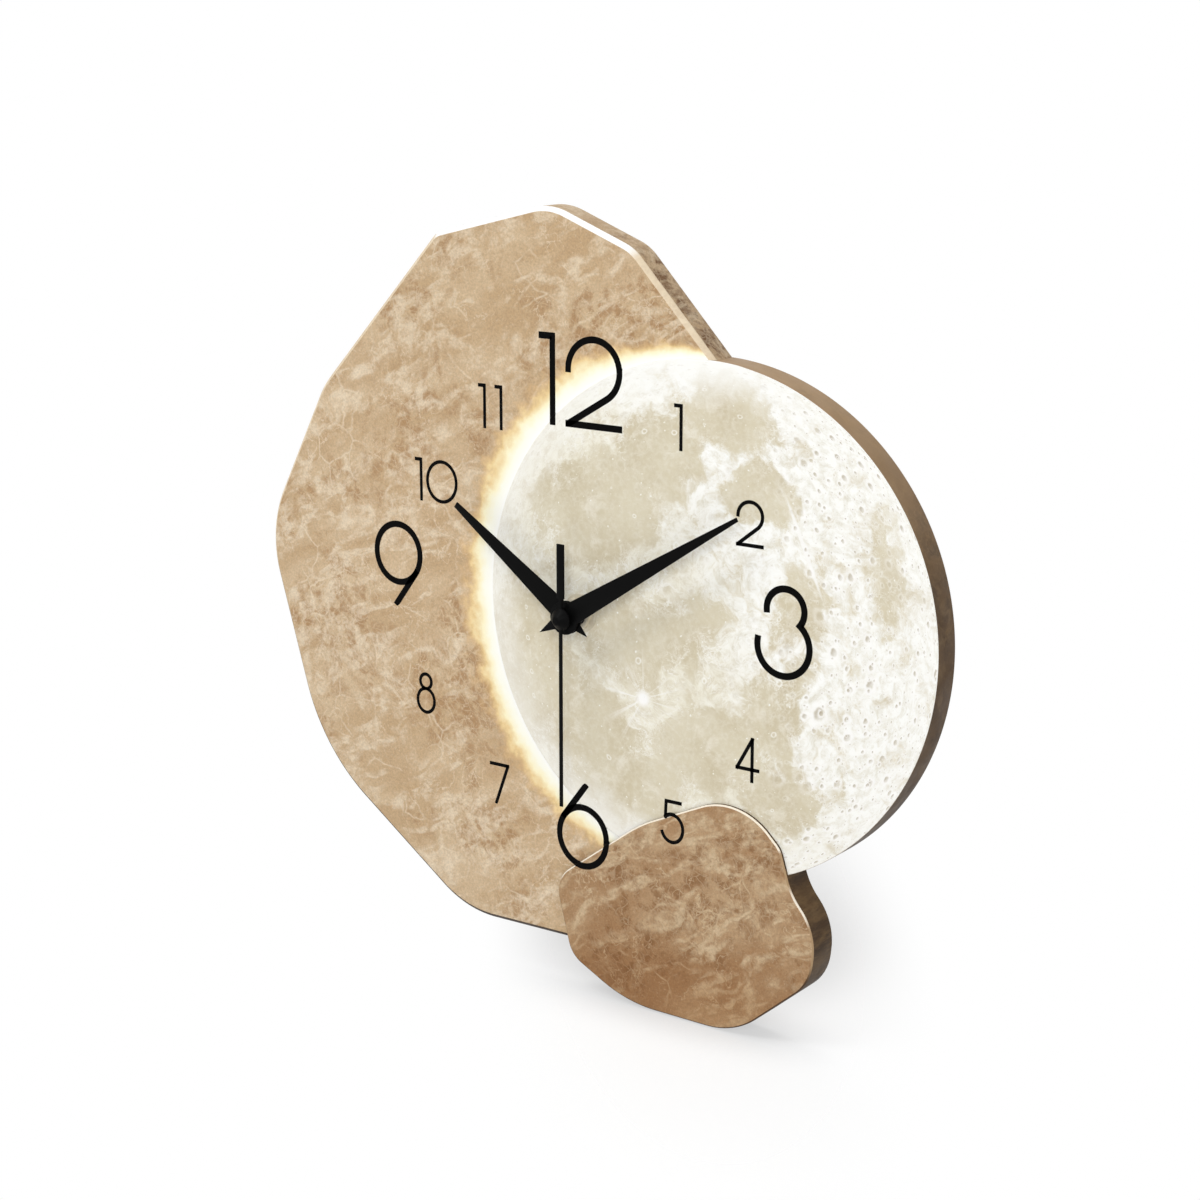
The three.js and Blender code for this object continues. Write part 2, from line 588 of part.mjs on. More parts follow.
const riserSlots = [-1, 1].map((side) => {
  const inner = CONTACT_INNER - SMALL_GAP;
  const [left, right] = side < 0 ? [-INNER_HALF, -inner] : [inner, INNER_HALF];
  const [bottom, top] = [BAY_TOP - INNER_CORNER, TRAIN_BOTTOM + INNER_CORNER];
  return block(left, right, RISER_FRONT - SMALL_GAP, CASE_BACK + THROUGH, bottom, top);
});
const caseShell = cut(
  plate(smallOutline(CASE_CORNERS), CASE_FRONT, COVER_FRONT),
  trainCut,
  bayCut,
  ...riserSlots,
);
const stem = rod(STEM_RADIUS, STEM_FRONT, CASE_FRONT + BITE);
const pivotAxes = [thirdAxis, stepAxis, rotorAxis, knobAxis];
const bossBack = CASE_FLOOR + BOSS_HEIGHT;
const pin = (axis, radius, front, back) => rod(radius, front, back, axis.x, axis.z, PIVOT_SEGMENTS);
const bosses = pivotAxes.map((axis) => pin(axis, BOSS_RADIUS, CASE_FLOOR - BITE, bossBack));
const minutePostBack = layerFront(MINUTE_LAYER) + WHEEL_THICKNESS + SMALL_GAP;
const minutePost = pin(minuteWheelAxis, MINUTE_POST_RADIUS, CASE_FLOOR - BITE, minutePostBack);
const post = ([x, z], back) => pin({ x, z }, POST_RADIUS, CASE_FLOOR - BITE, back);
const caseBlank = join(
  caseShell,
  stem,
  ...bosses,
  minutePost,
  ...bridgePosts.map((place) => post(place, BRIDGE_FRONT)),
  ...circuitPosts.map((place) => post(place, BRIDGE_FRONT)),
  post(statorPost, statorFront),
);
const pivotHole = PIVOT_RADIUS + PIVOT_GAP;
const caseHoles = pivotAxes.map((axis) => pin(axis, pivotHole, CASE_FLOOR - PIVOT_DEPTH, bossBack + THROUGH));
const stemBore = rod(STEM_BORE, STEM_FRONT - THROUGH, CASE_FLOOR + THROUGH);
addPiece('movement_case', cut(caseBlank, stemBore, ...caseHoles), 0x232427, 0.55);

// Cover: a plate with a lip inside the walls, open over the battery and round the setting knob.
const lipOuter = boxCorners(-INNER_HALF, TRAIN_BOTTOM, INNER_HALF, INNER_TOP, INNER_CORNER);
const coverLip = plate(
  smallOutline(offsetCorners(lipOuter, -SMALL_GAP)),
  COVER_FRONT - COVER_LIP,
  COVER_FRONT + BITE,
  [smallOutline(offsetCorners(lipOuter, -SMALL_GAP - COVER_LIP_WALL))],
);
const coverWindow = plate(
  smallOutline(boxCorners(-INNER_HALF, BAY_BOTTOM, INNER_HALF, BAY_TOP, INNER_CORNER)),
  COVER_FRONT - THROUGH,
  CASE_BACK + THROUGH,
);
const knobHoleFront = COVER_FRONT - COVER_LIP - THROUGH;
const knobHole = rod(KNOB_RADIUS + SMALL_GAP, knobHoleFront, CASE_BACK + THROUGH, knobAxis.x, knobAxis.z);
const coverBlank = join(plate(smallOutline(CASE_CORNERS), COVER_FRONT, CASE_BACK), coverLip);
addPiece('movement_cover', cut(coverBlank, coverWindow, knobHole), 0x2a2b2e, 0.5);

// Cell lying across the bay, its nub to the right, and a contact strip at each end.
const cellZ = (BAY_BOTTOM + BAY_TOP) / 2;
const cellY = CASE_FLOOR + CELL_SEAT_GAP + CELL_RADIUS;
const cellEnd = CELL_LENGTH / 2;
const cellProfile = [
  [0, -cellEnd], [CELL_RADIUS, -cellEnd], [CELL_RADIUS, cellEnd - CELL_NUB_LENGTH],
  [CELL_NUB_RADIUS, cellEnd - CELL_NUB_LENGTH], [CELL_NUB_RADIUS, cellEnd], [0, cellEnd],
];
const cell = turned(cellProfile).rotateZ(-Math.PI / 2).translate(0, cellY, cellZ);
addPiece('battery', cell, 0x6f7378, 0.35, 0.4);

function contact(side) {
  const [left, right] = side < 0 ? [-CONTACT_OUTER, -CONTACT_INNER] : [CONTACT_INNER, CONTACT_OUTER];
  const stripTop = BAY_TOP - INNER_CORNER;
  const stripBottom = cellZ - CONTACT_HEIGHT / 2;
  const strip = block(left, right, cellY - CONTACT_WIDTH / 2, CONTACT_BACK, stripBottom, stripTop);
  const riser = block(left, right, RISER_FRONT, CONTACT_BACK, stripTop - BITE, circuitBottom + BOARD_GAUGE);
  const reach = CONTACT_INNER - cellEnd - SMALL_GAP;
  const dimple = rod(CONTACT_DIMPLE_RADIUS, -reach, BITE)
    .rotateZ((-side * Math.PI) / 2)
    .translate(side * CONTACT_INNER, cellY, cellZ);
  return join(strip, riser, dimple);
}
addPiece('battery_contact_plus', contact(1), 0xc9ccd0, 0.3, 1);
addPiece('battery_contact_minus', contact(-1), 0xc9ccd0, 0.3, 1);

// Circuit board above the wheels, with its crystal lying on the front.
const circuitBack = BRIDGE_FRONT + BOARD_GAUGE;
const circuitCorners = boxCorners(-bridgeHalf, circuitBottom, bridgeHalf, circuitTop, INNER_CORNER);
const circuitBoard = plate(smallOutline(circuitCorners), BRIDGE_FRONT, circuitBack);
addPiece('circuit_board', circuitBoard, 0x2f6b3f, 0.6);
const crystalY = BRIDGE_FRONT - CRYSTAL_RADIUS - PIVOT_GAP;
const crystal = rod(CRYSTAL_RADIUS, 0, CRYSTAL_LENGTH)
  .rotateZ(-Math.PI / 2)
  .translate(rotorAxis.x - CRYSTAL_LENGTH / 2, crystalY, coilZ);
addPiece('quartz_crystal', crystal, 0xc4c7cb, 0.3, 1);

// Coil on the stator's core, and the stator ring round the rotor's magnet.
const statorMiddle = statorFront + STATOR_GAUGE / 2;
const statorBack = statorFront + STATOR_GAUGE;
const coilLeft = -bridgeHalf + COIL_END_GAP;
const coilRight = coilLeft + COIL_LENGTH;
const coilProfile = [
  [COIL_BORE, 0], [COIL_FLANGE_RADIUS, 0], [COIL_FLANGE_RADIUS, COIL_FLANGE_WIDTH],
  [COIL_WINDING_RADIUS, COIL_FLANGE_WIDTH], [COIL_WINDING_RADIUS, COIL_LENGTH - COIL_FLANGE_WIDTH],
  [COIL_FLANGE_RADIUS, COIL_LENGTH - COIL_FLANGE_WIDTH], [COIL_FLANGE_RADIUS, COIL_LENGTH],
  [COIL_BORE, COIL_LENGTH], [COIL_BORE, 0],
];
const coil = turned(coilProfile).rotateZ(-Math.PI / 2).translate(coilLeft, statorMiddle, coilZ);
addPiece('coil', coil, 0xb4683a, 0.45, 0.5);

const coreHalf = CORE_WIDTH / 2;
const barHalf = STATOR_BAR_WIDTH / 2;
const ringBore = MAGNET_RADIUS + STATOR_GAP;
const coreLeft = coilLeft - SMALL_GAP;
const barLeft = coilRight + SMALL_GAP;
const core = block(coreLeft, barLeft + BITE, statorFront, statorBack, coilZ - coreHalf, coilZ + coreHalf);
const bar = block(barLeft, rotorAxis.x + barHalf, statorFront, statorBack, coilZ - barHalf, coilZ + barHalf);
const neck = block(rotorAxis.x - barHalf, rotorAxis.x + barHalf, statorFront, statorBack, rotorAxis.z, coilZ);
const ring = rod(ringBore + STATOR_RING_WIDTH, statorFront, statorBack, rotorAxis.x, rotorAxis.z);
const ringHole = rod(ringBore, statorFront - THROUGH, statorBack + THROUGH, rotorAxis.x, rotorAxis.z);
addPiece('stator', cut(join(core, bar, neck, ring), ringHole), 0x8f9296, 0.4, 0.9);

// Train bridge: carries the rear pivots on four posts.
const bridgeOutline = smallOutline(boxCorners(-bridgeHalf, bridgeBottom, bridgeHalf, bridgeTop, POST_RADIUS));
const bridgeHoles = [handAxis, thirdAxis, stepAxis, rotorAxis].map(
  (axis) => circle(axis.x, axis.z, pivotHole, PIVOT_SEGMENTS),
);
const bridgeKnobHole = circle(knobAxis.x, knobAxis.z, KNOB_HUB_RADIUS + SMALL_GAP);
const bridge = plate(bridgeOutline, BRIDGE_FRONT, BRIDGE_BACK, [...bridgeHoles, bridgeKnobHole]);
addPiece('train_bridge', bridge, 0xd8d5cc, 0.6);

// Wheels, from the rotor to the hands.
const magnetFront = statorMiddle - MAGNET_LENGTH / 2;
const rotor = join(
  arbor(rotorAxis),
  rod(MAGNET_RADIUS, magnetFront, magnetFront + MAGNET_LENGTH, rotorAxis.x, rotorAxis.z),
  pinion(rotorPinion, STEP_LAYER),
);
addPiece('rotor', rotor, 0x4a4c50, 0.5, 0.4);

const stepWheel = join(
  arbor(stepAxis),
  pinion(stepPinion, SECONDS_LAYER),
  wheel(stepTeeth, STEP_LAYER),
);
addPiece('step_wheel', stepWheel, 0xe9e6de, 0.5);

const secondsArbor = rod(PIVOT_RADIUS, SECOND_HAND_FRONT, ARBOR_BACK, 0, 0, PIVOT_SEGMENTS);
const secondsWheel = join(
  secondsArbor,
  pinion(secondsPinion, THIRD_LAYER),
  wheel(secondsTeeth, SECONDS_LAYER),
);
addPiece('seconds_wheel', secondsWheel, 0xe9e6de, 0.5);

const thirdWheel = join(
  arbor(thirdAxis),
  pinion(thirdPinion, CENTRE_LAYER),
  wheel(thirdTeeth, THIRD_LAYER),
);
addPiece('third_wheel', thirdWheel, 0xe9e6de, 0.5);

const clutchBore = circle(0, 0, MINUTE_ARBOR_RADIUS + PIVOT_GAP);
const centreWheel = wheel(centreTeeth, CENTRE_LAYER, [clutchBore]);
addPiece('centre_wheel', centreWheel, 0xc9a24a, 0.35, 0.9);

const minuteArborBack = layerFront(CENTRE_LAYER) + WHEEL_THICKNESS + PINION_OVERHANG;
const minuteArborFront = MINUTE_HAND_FRONT - SMALL_GAP;
const minuteArbor = cut(
  join(
    rod(MINUTE_ARBOR_RADIUS, minuteArborFront, minuteArborBack),
    pinion(cannonPinion, MINUTE_LAYER),
  ),
  rod(MINUTE_ARBOR_BORE, minuteArborFront - THROUGH, minuteArborBack + THROUGH),
);
addPiece('minute_arbor', minuteArbor, 0xc9a24a, 0.35, 0.9);

const minuteWheelBore = MINUTE_POST_RADIUS + PIVOT_GAP;
const minuteWheelFront = layerFront(HOUR_LAYER) - PINION_OVERHANG;
const minuteWheelMiddle = layerFront(MINUTE_LAYER) + BITE;
const minuteWheel = cut(
  join(
    plate(gearOutline(minutePinion), minuteWheelFront, minuteWheelMiddle),
    wheel(minuteTeeth, MINUTE_LAYER),
  ),
  pin(minuteWheelAxis, minuteWheelBore, minuteWheelFront - THROUGH, minuteWheelMiddle + THROUGH),
);
addPiece('minute_wheel', minuteWheel, 0xe9e6de, 0.5);

const hourTubeFront = HOUR_HAND_FRONT - SMALL_GAP;
const hourTubeBack = layerFront(HOUR_LAYER) + WHEEL_THICKNESS;
const hourWheel = cut(
  join(
    rod(HOUR_TUBE_RADIUS, hourTubeFront, hourTubeBack),
    wheel(hourTeeth, HOUR_LAYER),
  ),
  rod(HOUR_TUBE_BORE, hourTubeFront - THROUGH, hourTubeBack + THROUGH),
);
addPiece('hour_wheel', hourWheel, 0xe9e6de, 0.5);

// Setting knob: a pinion on the minute wheel, turned from behind.
const knobBack = CASE_BACK - KNOB_RECESS;
const knobFront = knobBack - KNOB_HEIGHT;
const knobHubFront = layerFront(MINUTE_LAYER) + WHEEL_THICKNESS + PINION_OVERHANG / 2;
const knobPitch = FULL_TURN / KNOB_FLUTES;
const fluteRadius = KNOB_RADIUS - KNOB_FLUTE_DEPTH;
const knobShares = [
  [KNOB_RADIUS, 0], [KNOB_RADIUS, KNOB_LAND_SHARE],
  [fluteRadius, KNOB_FLUTE_START_SHARE], [fluteRadius, KNOB_FLUTE_END_SHARE],
];
const knobOutline = Array.from({ length: KNOB_FLUTES }, (_, k) => knobShares.map(([radius, share]) => {
  const angle = (k + share) * knobPitch;
  return new THREE.Vector2(knobAxis.x + radius * Math.cos(angle), knobAxis.z + radius * Math.sin(angle));
})).flat();
const setKnob = join(
  rod(PIVOT_RADIUS, ARBOR_FRONT, layerFront(MINUTE_LAYER), knobAxis.x, knobAxis.z, PIVOT_SEGMENTS),
  pinion(knobPinion, MINUTE_LAYER),
  rod(KNOB_HUB_RADIUS, knobHubFront, knobFront + BITE, knobAxis.x, knobAxis.z),
  plate(knobOutline, knobFront, knobBack),
);
addPiece('set_knob', setKnob, 0x1c1d1f, 0.5);

// Fixing: a rubber washer behind the board's web, a brass washer and a hexagon nut on the stem in front.
const threadBore = STEM_RADIUS + THREAD_CLEARANCE;
addPiece('rubber_washer', tube(threadBore, RUBBER_RADIUS, POCKET_FLOOR, CASE_FRONT), 0x1a1a1a, 0.95);
addPiece('brass_washer', tube(threadBore, WASHER_RADIUS, WASHER_FRONT, MOON_FRONT), 0xc9a24a, 0.35, 0.9);
const nutOutline = circle(0, 0, NUT_FLATS / 2 / Math.cos(Math.PI / NUT_SIDES), NUT_SIDES);
const nut = plate(nutOutline, NUT_FRONT, WASHER_FRONT, [circle(0, 0, threadBore)]);
addPiece('stem_nut', nut, 0x1d1d1e, 0.4, 0.8);

// Hands, drawn pointing to 12 and then turned to the time in the photograph.
function polygon(...places) {
  return places.map(([x, z]) => new THREE.Vector2(x, z));
}

function bladeHand(front, length, tipWidth, tail, bore, colletBack) {
  const back = front + HAND_GAUGE;
  const side = BLADE_WIDTH / 2;
  const tip = tipWidth / 2;
  const tailSide = TAIL_WIDTH / 2;
  const blade = polygon([-side, BLADE_SHOULDER], [side, BLADE_SHOULDER], [tip, length], [-tip, length]);
  const point = polygon([-tailSide, 0], [0, -tail], [tailSide, 0]);
  const solid = join(
    rod(HAND_HUB_RADIUS, front, back),
    plate(blade, front, back),
    plate(point, front, back),
    rod(bore + COLLET_WALL, back - BITE, colletBack),
  );
  return cut(solid, rod(bore, front - THROUGH, colletBack + THROUGH));
}

const hourBore = HOUR_TUBE_RADIUS + COLLET_GAP;
const hourColletBack = STEM_FRONT - LAYER_GAP;
const hourBlade = bladeHand(
  HOUR_HAND_FRONT, HOUR_HAND_LENGTH, HOUR_TIP_WIDTH, HOUR_TAIL, hourBore, hourColletBack,
);
const hourHand = addPiece('hour_hand', hourBlade, 0x161616, 0.4, 0.3);
hourHand.rotation.y = radians(HOUR_ANGLE);

const minuteBore = MINUTE_ARBOR_RADIUS + COLLET_GAP;
const minuteColletBack = hourTubeFront - SMALL_GAP;
const minuteBlade = bladeHand(
  MINUTE_HAND_FRONT, MINUTE_HAND_LENGTH, MINUTE_TIP_WIDTH, MINUTE_TAIL, minuteBore, minuteColletBack,
);
const minuteHand = addPiece('minute_hand', minuteBlade, 0x161616, 0.4, 0.3);
minuteHand.rotation.y = radians(MINUTE_ANGLE);

const needleHalf = NEEDLE_WIDTH / 2;
const weightHalf = COUNTERWEIGHT_WIDTH / 2;
const secondBack = SECOND_HAND_FRONT + HAND_GAUGE;
const band = (half, bottom, top) => polygon([-half, bottom], [half, bottom], [half, top], [-half, top]);
const needle = band(needleHalf, -SECOND_TAIL, SECOND_HAND_LENGTH);
const counterweight = band(weightHalf, -SECOND_TAIL, -COUNTERWEIGHT_START);
const capFront = SECOND_HAND_FRONT - CAP_HEIGHT;
const capProfile = [
  [0, capFront], [CAP_TIP_RADIUS, capFront], [CAP_RADIUS, SECOND_HAND_FRONT],
  [CAP_RADIUS, secondBack], [0, secondBack],
];
const secondSolid = join(
  plate(needle, SECOND_HAND_FRONT, secondBack),
  plate(counterweight, SECOND_HAND_FRONT, secondBack),
  turned(capProfile),
  rod(PIVOT_RADIUS + COLLET_WALL, secondBack - BITE, minuteArborFront - SMALL_GAP),
);
const secondSocket = rod(PIVOT_RADIUS + COLLET_GAP, SECOND_HAND_FRONT - COLLET_GAP, 0, 0, 0, PIVOT_SEGMENTS);
const secondHand = addPiece('second_hand', cut(secondSolid, secondSocket), 0x161616, 0.4, 0.3);
secondHand.rotation.y = radians(SECOND_ANGLE);

// The hook bears in the hanger's teeth: that point on the wall is the origin.
clock.position.set(-HANGER_X, 0, -(hangerBottom + HANGER_TOOTH_DEPTH));
const part = new THREE.Group();
part.add(clock);

export default part;
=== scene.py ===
import math

import bmesh
import bpy
from mathutils import Matrix, Vector


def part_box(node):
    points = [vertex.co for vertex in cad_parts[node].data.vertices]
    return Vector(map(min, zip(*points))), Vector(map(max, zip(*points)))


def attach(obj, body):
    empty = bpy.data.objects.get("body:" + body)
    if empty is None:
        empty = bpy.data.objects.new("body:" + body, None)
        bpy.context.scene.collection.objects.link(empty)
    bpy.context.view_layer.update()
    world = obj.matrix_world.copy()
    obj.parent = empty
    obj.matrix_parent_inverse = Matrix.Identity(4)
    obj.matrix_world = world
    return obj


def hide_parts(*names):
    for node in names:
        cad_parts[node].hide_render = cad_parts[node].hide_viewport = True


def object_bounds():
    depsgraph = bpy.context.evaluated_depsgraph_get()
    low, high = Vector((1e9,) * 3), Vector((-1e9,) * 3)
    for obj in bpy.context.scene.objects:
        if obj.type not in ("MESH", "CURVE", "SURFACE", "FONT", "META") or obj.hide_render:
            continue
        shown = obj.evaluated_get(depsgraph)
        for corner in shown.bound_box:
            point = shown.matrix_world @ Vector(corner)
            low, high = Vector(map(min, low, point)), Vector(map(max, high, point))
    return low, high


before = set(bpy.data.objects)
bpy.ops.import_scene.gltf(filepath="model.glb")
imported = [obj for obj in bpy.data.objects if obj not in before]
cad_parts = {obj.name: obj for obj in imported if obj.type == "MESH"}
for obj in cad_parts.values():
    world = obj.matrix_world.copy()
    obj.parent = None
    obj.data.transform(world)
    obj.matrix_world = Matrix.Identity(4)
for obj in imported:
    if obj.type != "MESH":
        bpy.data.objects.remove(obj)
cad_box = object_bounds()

# Slab board: the large stone-look board at the back left, 12 mm fibreboard with a printed and varnished face.
# Its free edge is planed to a bevel, and the round board and the small board are let into it.
# Places on a board are in millimetres from the hand axis, x to the right and z up. Depths are the frame's y.
MM = 0.001
AXIS_X = 1.5
AXIS_Z = -101.3
BOARD_BACK = -8.6
SLAB_FRONT = -20.6
SLAB_BEVEL = 1.6
ARRIS = 0.4
FACE_MARGIN = 1
SEAM = 0.03
SLAB_CORNERS = [
    (-15, 153.5, 26), (-69.5, 140, 9), (-129.5, 75.5, 41), (-162.5, 12.5, 48), (-135.5, -79, 83),
    (-59, -134, 45), (0, -133.5, 6), (60, -115, 6), (70, 89.5, 6), (23, 139, 20),
]
MOON_X = 55
MOON_Z = 3.8
MOON_RADIUS = 97.5
MOON_POINTS = 400
PEBBLE_CORNERS = [
    (-12, -109, 12.5), (-4, -139.5, 12), (22.5, -153, 56.5), (72, -153.5, 33.5),
    (105, -125.5, 20.5), (107, -105, 24), (96, -92, 26), (91, -76, 9), (73, -58.5, 26.5), (29, -78.5, 67),
]
CUT_CLEARANCE = 2
CUT_BACK = BOARD_BACK + CUT_CLEARANCE
CUT_FRONT = SLAB_FRONT - 2 * CUT_CLEARANCE
OUTLINE_STEP = 0.7
FEWEST_STEPS = 3
PLANE_FACE = 0.9999


def to_frame(x, depth, z):
    """A place measured from the hand axis in millimetres, in the frame's metres."""
    return Vector((x + AXIS_X, depth, z + AXIS_Z)) * MM


def rounded_outline(corners, spacing=OUTLINE_STEP):
    """Points round an outline, counter-clockwise from the front; corners are x, z and rounding radius."""
    points = []
    for index, (x, z, radius) in enumerate(corners):
        corner = Vector((x, z))
        back = (Vector(corners[index - 1][:2]) - corner).normalized()
        ahead = (Vector(corners[(index + 1) % len(corners)][:2]) - corner).normalized()
        half = back.angle(ahead) / 2
        centre = corner + (back + ahead).normalized() * radius / math.sin(half)
        start = corner + back * radius / math.tan(half) - centre
        turn = math.pi - 2 * half
        if back.x * ahead.y > back.y * ahead.x:
            turn = -turn
        steps = max(FEWEST_STEPS, math.ceil(radius * abs(turn) / spacing))
        points += [centre + Matrix.Rotation(turn * step / steps, 2) @ start for step in range(steps + 1)]
    return points


def round_outline(x, z, radius, count):
    """Points round a circle, counter-clockwise from the front."""
    angles = [math.tau * step / count for step in range(count)]
    return [Vector((x + radius * math.cos(angle), z + radius * math.sin(angle))) for angle in angles]


def inset(points, distance):
    """The outline drawn in by a distance, square to its edge."""
    drawn_in = []
    for index, point in enumerate(points):
        arriving = (point - points[index - 1]).normalized()
        leaving = (points[(index + 1) % len(points)] - point).normalized()
        along = (arriving + leaving).normalized()
        inward = Vector((-along.y, along.x))
        drawn_in.append(point + inward * distance / along.dot(leaving))
    return drawn_in


def eased(profile, reach, steps=4):
    """An edge profile with its inner corners rounded over a reach on both sides."""
    softened = [profile[0]]
    for before, corner, after in zip(profile, profile[1:], profile[2:]):
        middle = Vector(corner)
        start = middle + (Vector(before) - middle).normalized() * reach
        end = middle + (Vector(after) - middle).normalized() * reach
        for step in range(steps + 1):
            share = step / steps
            first = start.lerp(middle, share)
            second = middle.lerp(end, share)
            softened.append(tuple(first.lerp(second, share)))
    return softened + [profile[-1]]


def new_piece(name, corners, faces):
    """A mesh piece in the scene, from its corners in metres and its faces."""
    mesh = bpy.data.meshes.new(name)
    mesh.from_pydata(corners, [], faces)
    piece = bpy.data.objects.new(name, mesh)
    bpy.context.scene.collection.objects.link(piece)
    return piece


def ring_faces(rings, count):
    """The faces between rings that follow one another, each with the same count of corners."""
    faces = []
    for low in range(0, (rings - 1) * count, count):
        high = low + count
        for index in range(count):
            after = (index + 1) % count
            faces.append((low + index, low + after, high + after, high + index))
    return faces


def lofted(name, outline, profile):
    """A closed solid with a ring of the outline for each inset and depth of a profile, from back to front."""
    count = len(outline)
    corners = []
    for drawn, depth in profile:
        corners += [to_frame(point.x, depth, point.y) for point in inset(outline, drawn)]
    back = list(range(count))[::-1]
    front = list(range(len(corners) - count, len(corners)))
    return new_piece(name, corners, [back, *ring_faces(len(profile), count), front])


def cut_out(board, *cutters):
    """Cuts the cutters' shapes out of a board and clears the cutters away."""
    for cutter in cutters:
        cut = board.modifiers.new(cutter.name, "BOOLEAN")
        cut.object = cutter
        cut.solver = "EXACT"
    uncut = board.data
    cut_mesh = bpy.data.meshes.new_from_object(board.evaluated_get(bpy.context.evaluated_depsgraph_get()))
    board.modifiers.clear()
    board.data = cut_mesh
    bpy.data.meshes.remove(uncut)
    for cutter in cutters:
        bpy.data.objects.remove(cutter)


def shade(piece, angle=35):
    """Smooth shading on round stretches, flat shading on plane faces, sharp at corners over an angle."""
    for face in piece.data.polygons:
        face.use_smooth = abs(face.normal.y) < PLANE_FACE
    piece.data.set_sharp_from_angle(angle=math.radians(angle))


def cutter(name, outline, front=CUT_FRONT):
    """A straight-sided shape for a cut-out, from behind the boards to a front depth."""
    return lofted(name, outline, [(0, CUT_BACK), (0, front)])


def board_profile(front, bevel):
    """A board's edge from its back to its face: a small arris behind, a square side and a bevel in front."""
    corners = [
        (ARRIS, BOARD_BACK), (0, BOARD_BACK - ARRIS), (0, front + bevel), (bevel, front),
        (bevel + FACE_MARGIN, front),
    ]
    return corners[:1] + eased(corners[1:], min(ARRIS, bevel / 3))


moon_gap = round_outline(MOON_X, MOON_Z, MOON_RADIUS + SEAM, MOON_POINTS)
pebble_outline = rounded_outline(PEBBLE_CORNERS)
pebble_gap = inset(pebble_outline, -SEAM)
slab = lofted("slab", rounded_outline(SLAB_CORNERS), board_profile(SLAB_FRONT, SLAB_BEVEL))
cut_out(slab, cutter("moon_gap", moon_gap), cutter("pebble_gap", pebble_gap))
shade(slab)


def paint(red, green, blue):
    """A colour as it is seen, from 0 to 255, in the linear values that a shader takes (the sRGB curve)."""
    shares = [level / 255 for level in (red, green, blue)]
    linear = [share / 12.92 if share <= 0.04045 else ((share + 0.055) / 1.055) ** 2.4 for share in shares]
    return (*linear, 1.0)


def add_node(tree, kind, inputs=None, **settings):
    """A node with its settings, its inputs linked where a socket is given and filled where a value is."""
    node = tree.nodes.new(kind)
    for name, value in settings.items():
        setattr(node, name, value)
    for name, value in (inputs or {}).items():
        if isinstance(value, bpy.types.NodeSocket):
            tree.links.new(value, node.inputs[name])
        else:
            node.inputs[name].default_value = value
    return node


def calc(tree, operation, first, second=0.0):
    """The result of an operation on two numbers."""
    return add_node(tree, "ShaderNodeMath", {0: first, 1: second}, operation=operation).outputs[0]


def product(tree, first, second):
    """One number times another."""
    return calc(tree, "MULTIPLY", first, second)


def moved(tree, operation, first, second=(0, 0, 0)):
    """The result of an operation on two places."""
    return add_node(tree, "ShaderNodeVectorMath", {0: first, 1: second}, operation=operation).outputs[0]


def axes(tree, place):
    """The three coordinates of a place."""
    return add_node(tree, "ShaderNodeSeparateXYZ", {0: place}).outputs


def length_of(tree, place):
    """How far a place is from zero."""
    return add_node(tree, "ShaderNodeVectorMath", {0: place}, operation="LENGTH").outputs["Value"]


def fade(tree, value, low, high, start=0.0, end=1.0):
    """Goes smoothly from start to end as the value rises from low to high."""
    inputs = {0: value, 1: low, 2: high, 3: start, 4: end}
    return add_node(tree, "ShaderNodeMapRange", inputs, interpolation_type="SMOOTHSTEP").outputs[0]


def mixed(tree, share, first, second, blend="MIX"):
    """A mix of two colours."""
    inputs = {0: share, 6: first, 7: second}
    return add_node(tree, "ShaderNodeMix", inputs, data_type="RGBA", blend_type=blend).outputs[2]


def noise(tree, where, size, detail=4.0, rough=0.55, coloured=False):
    """Cloudy noise with patches of about a size in the places' unit, as one value or as a colour."""
    inputs = {"Vector": where, "Scale": 1 / size, "Detail": detail, "Roughness": rough}
    return add_node(tree, "ShaderNodeTexNoise", inputs).outputs[1 if coloured else 0]


def cell_edge(tree, where, size):
    """How far a place is from the edges of a net of cells of a size, as a share of the size."""
    inputs = {"Vector": where, "Scale": 1 / size}
    return add_node(tree, "ShaderNodeTexVoronoi", inputs, feature="DISTANCE_TO_EDGE").outputs["Distance"]


def ridge(tree, value):
    """1 where a noise value crosses its middle, falling away on both sides."""
    away = calc(tree, "ABSOLUTE", calc(tree, "SUBTRACT", value, 0.5))
    return calc(tree, "SUBTRACT", 1.0, product(tree, away, 2.0))


def warped(tree, where, size, reach):
    """Places pushed about by noise of a size, by up to about half a reach."""
    push = moved(tree, "SUBTRACT", noise(tree, where, size, 3.0, coloured=True), (0.5, 0.5, 0.5))
    return moved(tree, "ADD", where, moved(tree, "MULTIPLY", push, (reach, reach, reach)))


def node_group(name, inputs, outputs):
    """A shader node group with named sockets; gives the group, its inlets and its outlets."""
    group = bpy.data.node_groups.new(name, "ShaderNodeTree")
    for label, kind in inputs:
        group.interface.new_socket(label, in_out="INPUT", socket_type="NodeSocket" + kind)
    for label, kind in outputs:
        group.interface.new_socket(label, in_out="OUTPUT", socket_type="NodeSocket" + kind)
    inlets = group.nodes.new("NodeGroupInput").outputs
    outlets = group.nodes.new("NodeGroupOutput").inputs
    return group, inlets, outlets


def use_group(tree, group, inputs):
    """A group placed in a material with its own values; gives its outputs."""
    return add_node(tree, "ShaderNodeGroup", inputs, node_tree=group).outputs


def new_material(name):
    """A material; gives it with its node tree and the inputs of its shader."""
    material = bpy.data.materials.new(name)
    material.use_nodes = True
    return material, material.node_tree, material.node_tree.nodes["Principled BSDF"].inputs


def millimetres(tree):
    """The place on the clock in the frame's axes, in millimetres."""
    where = add_node(tree, "ShaderNodeTexCoord").outputs["Object"]
    return moved(tree, "MULTIPLY", where, (1000, 1000, 1000))


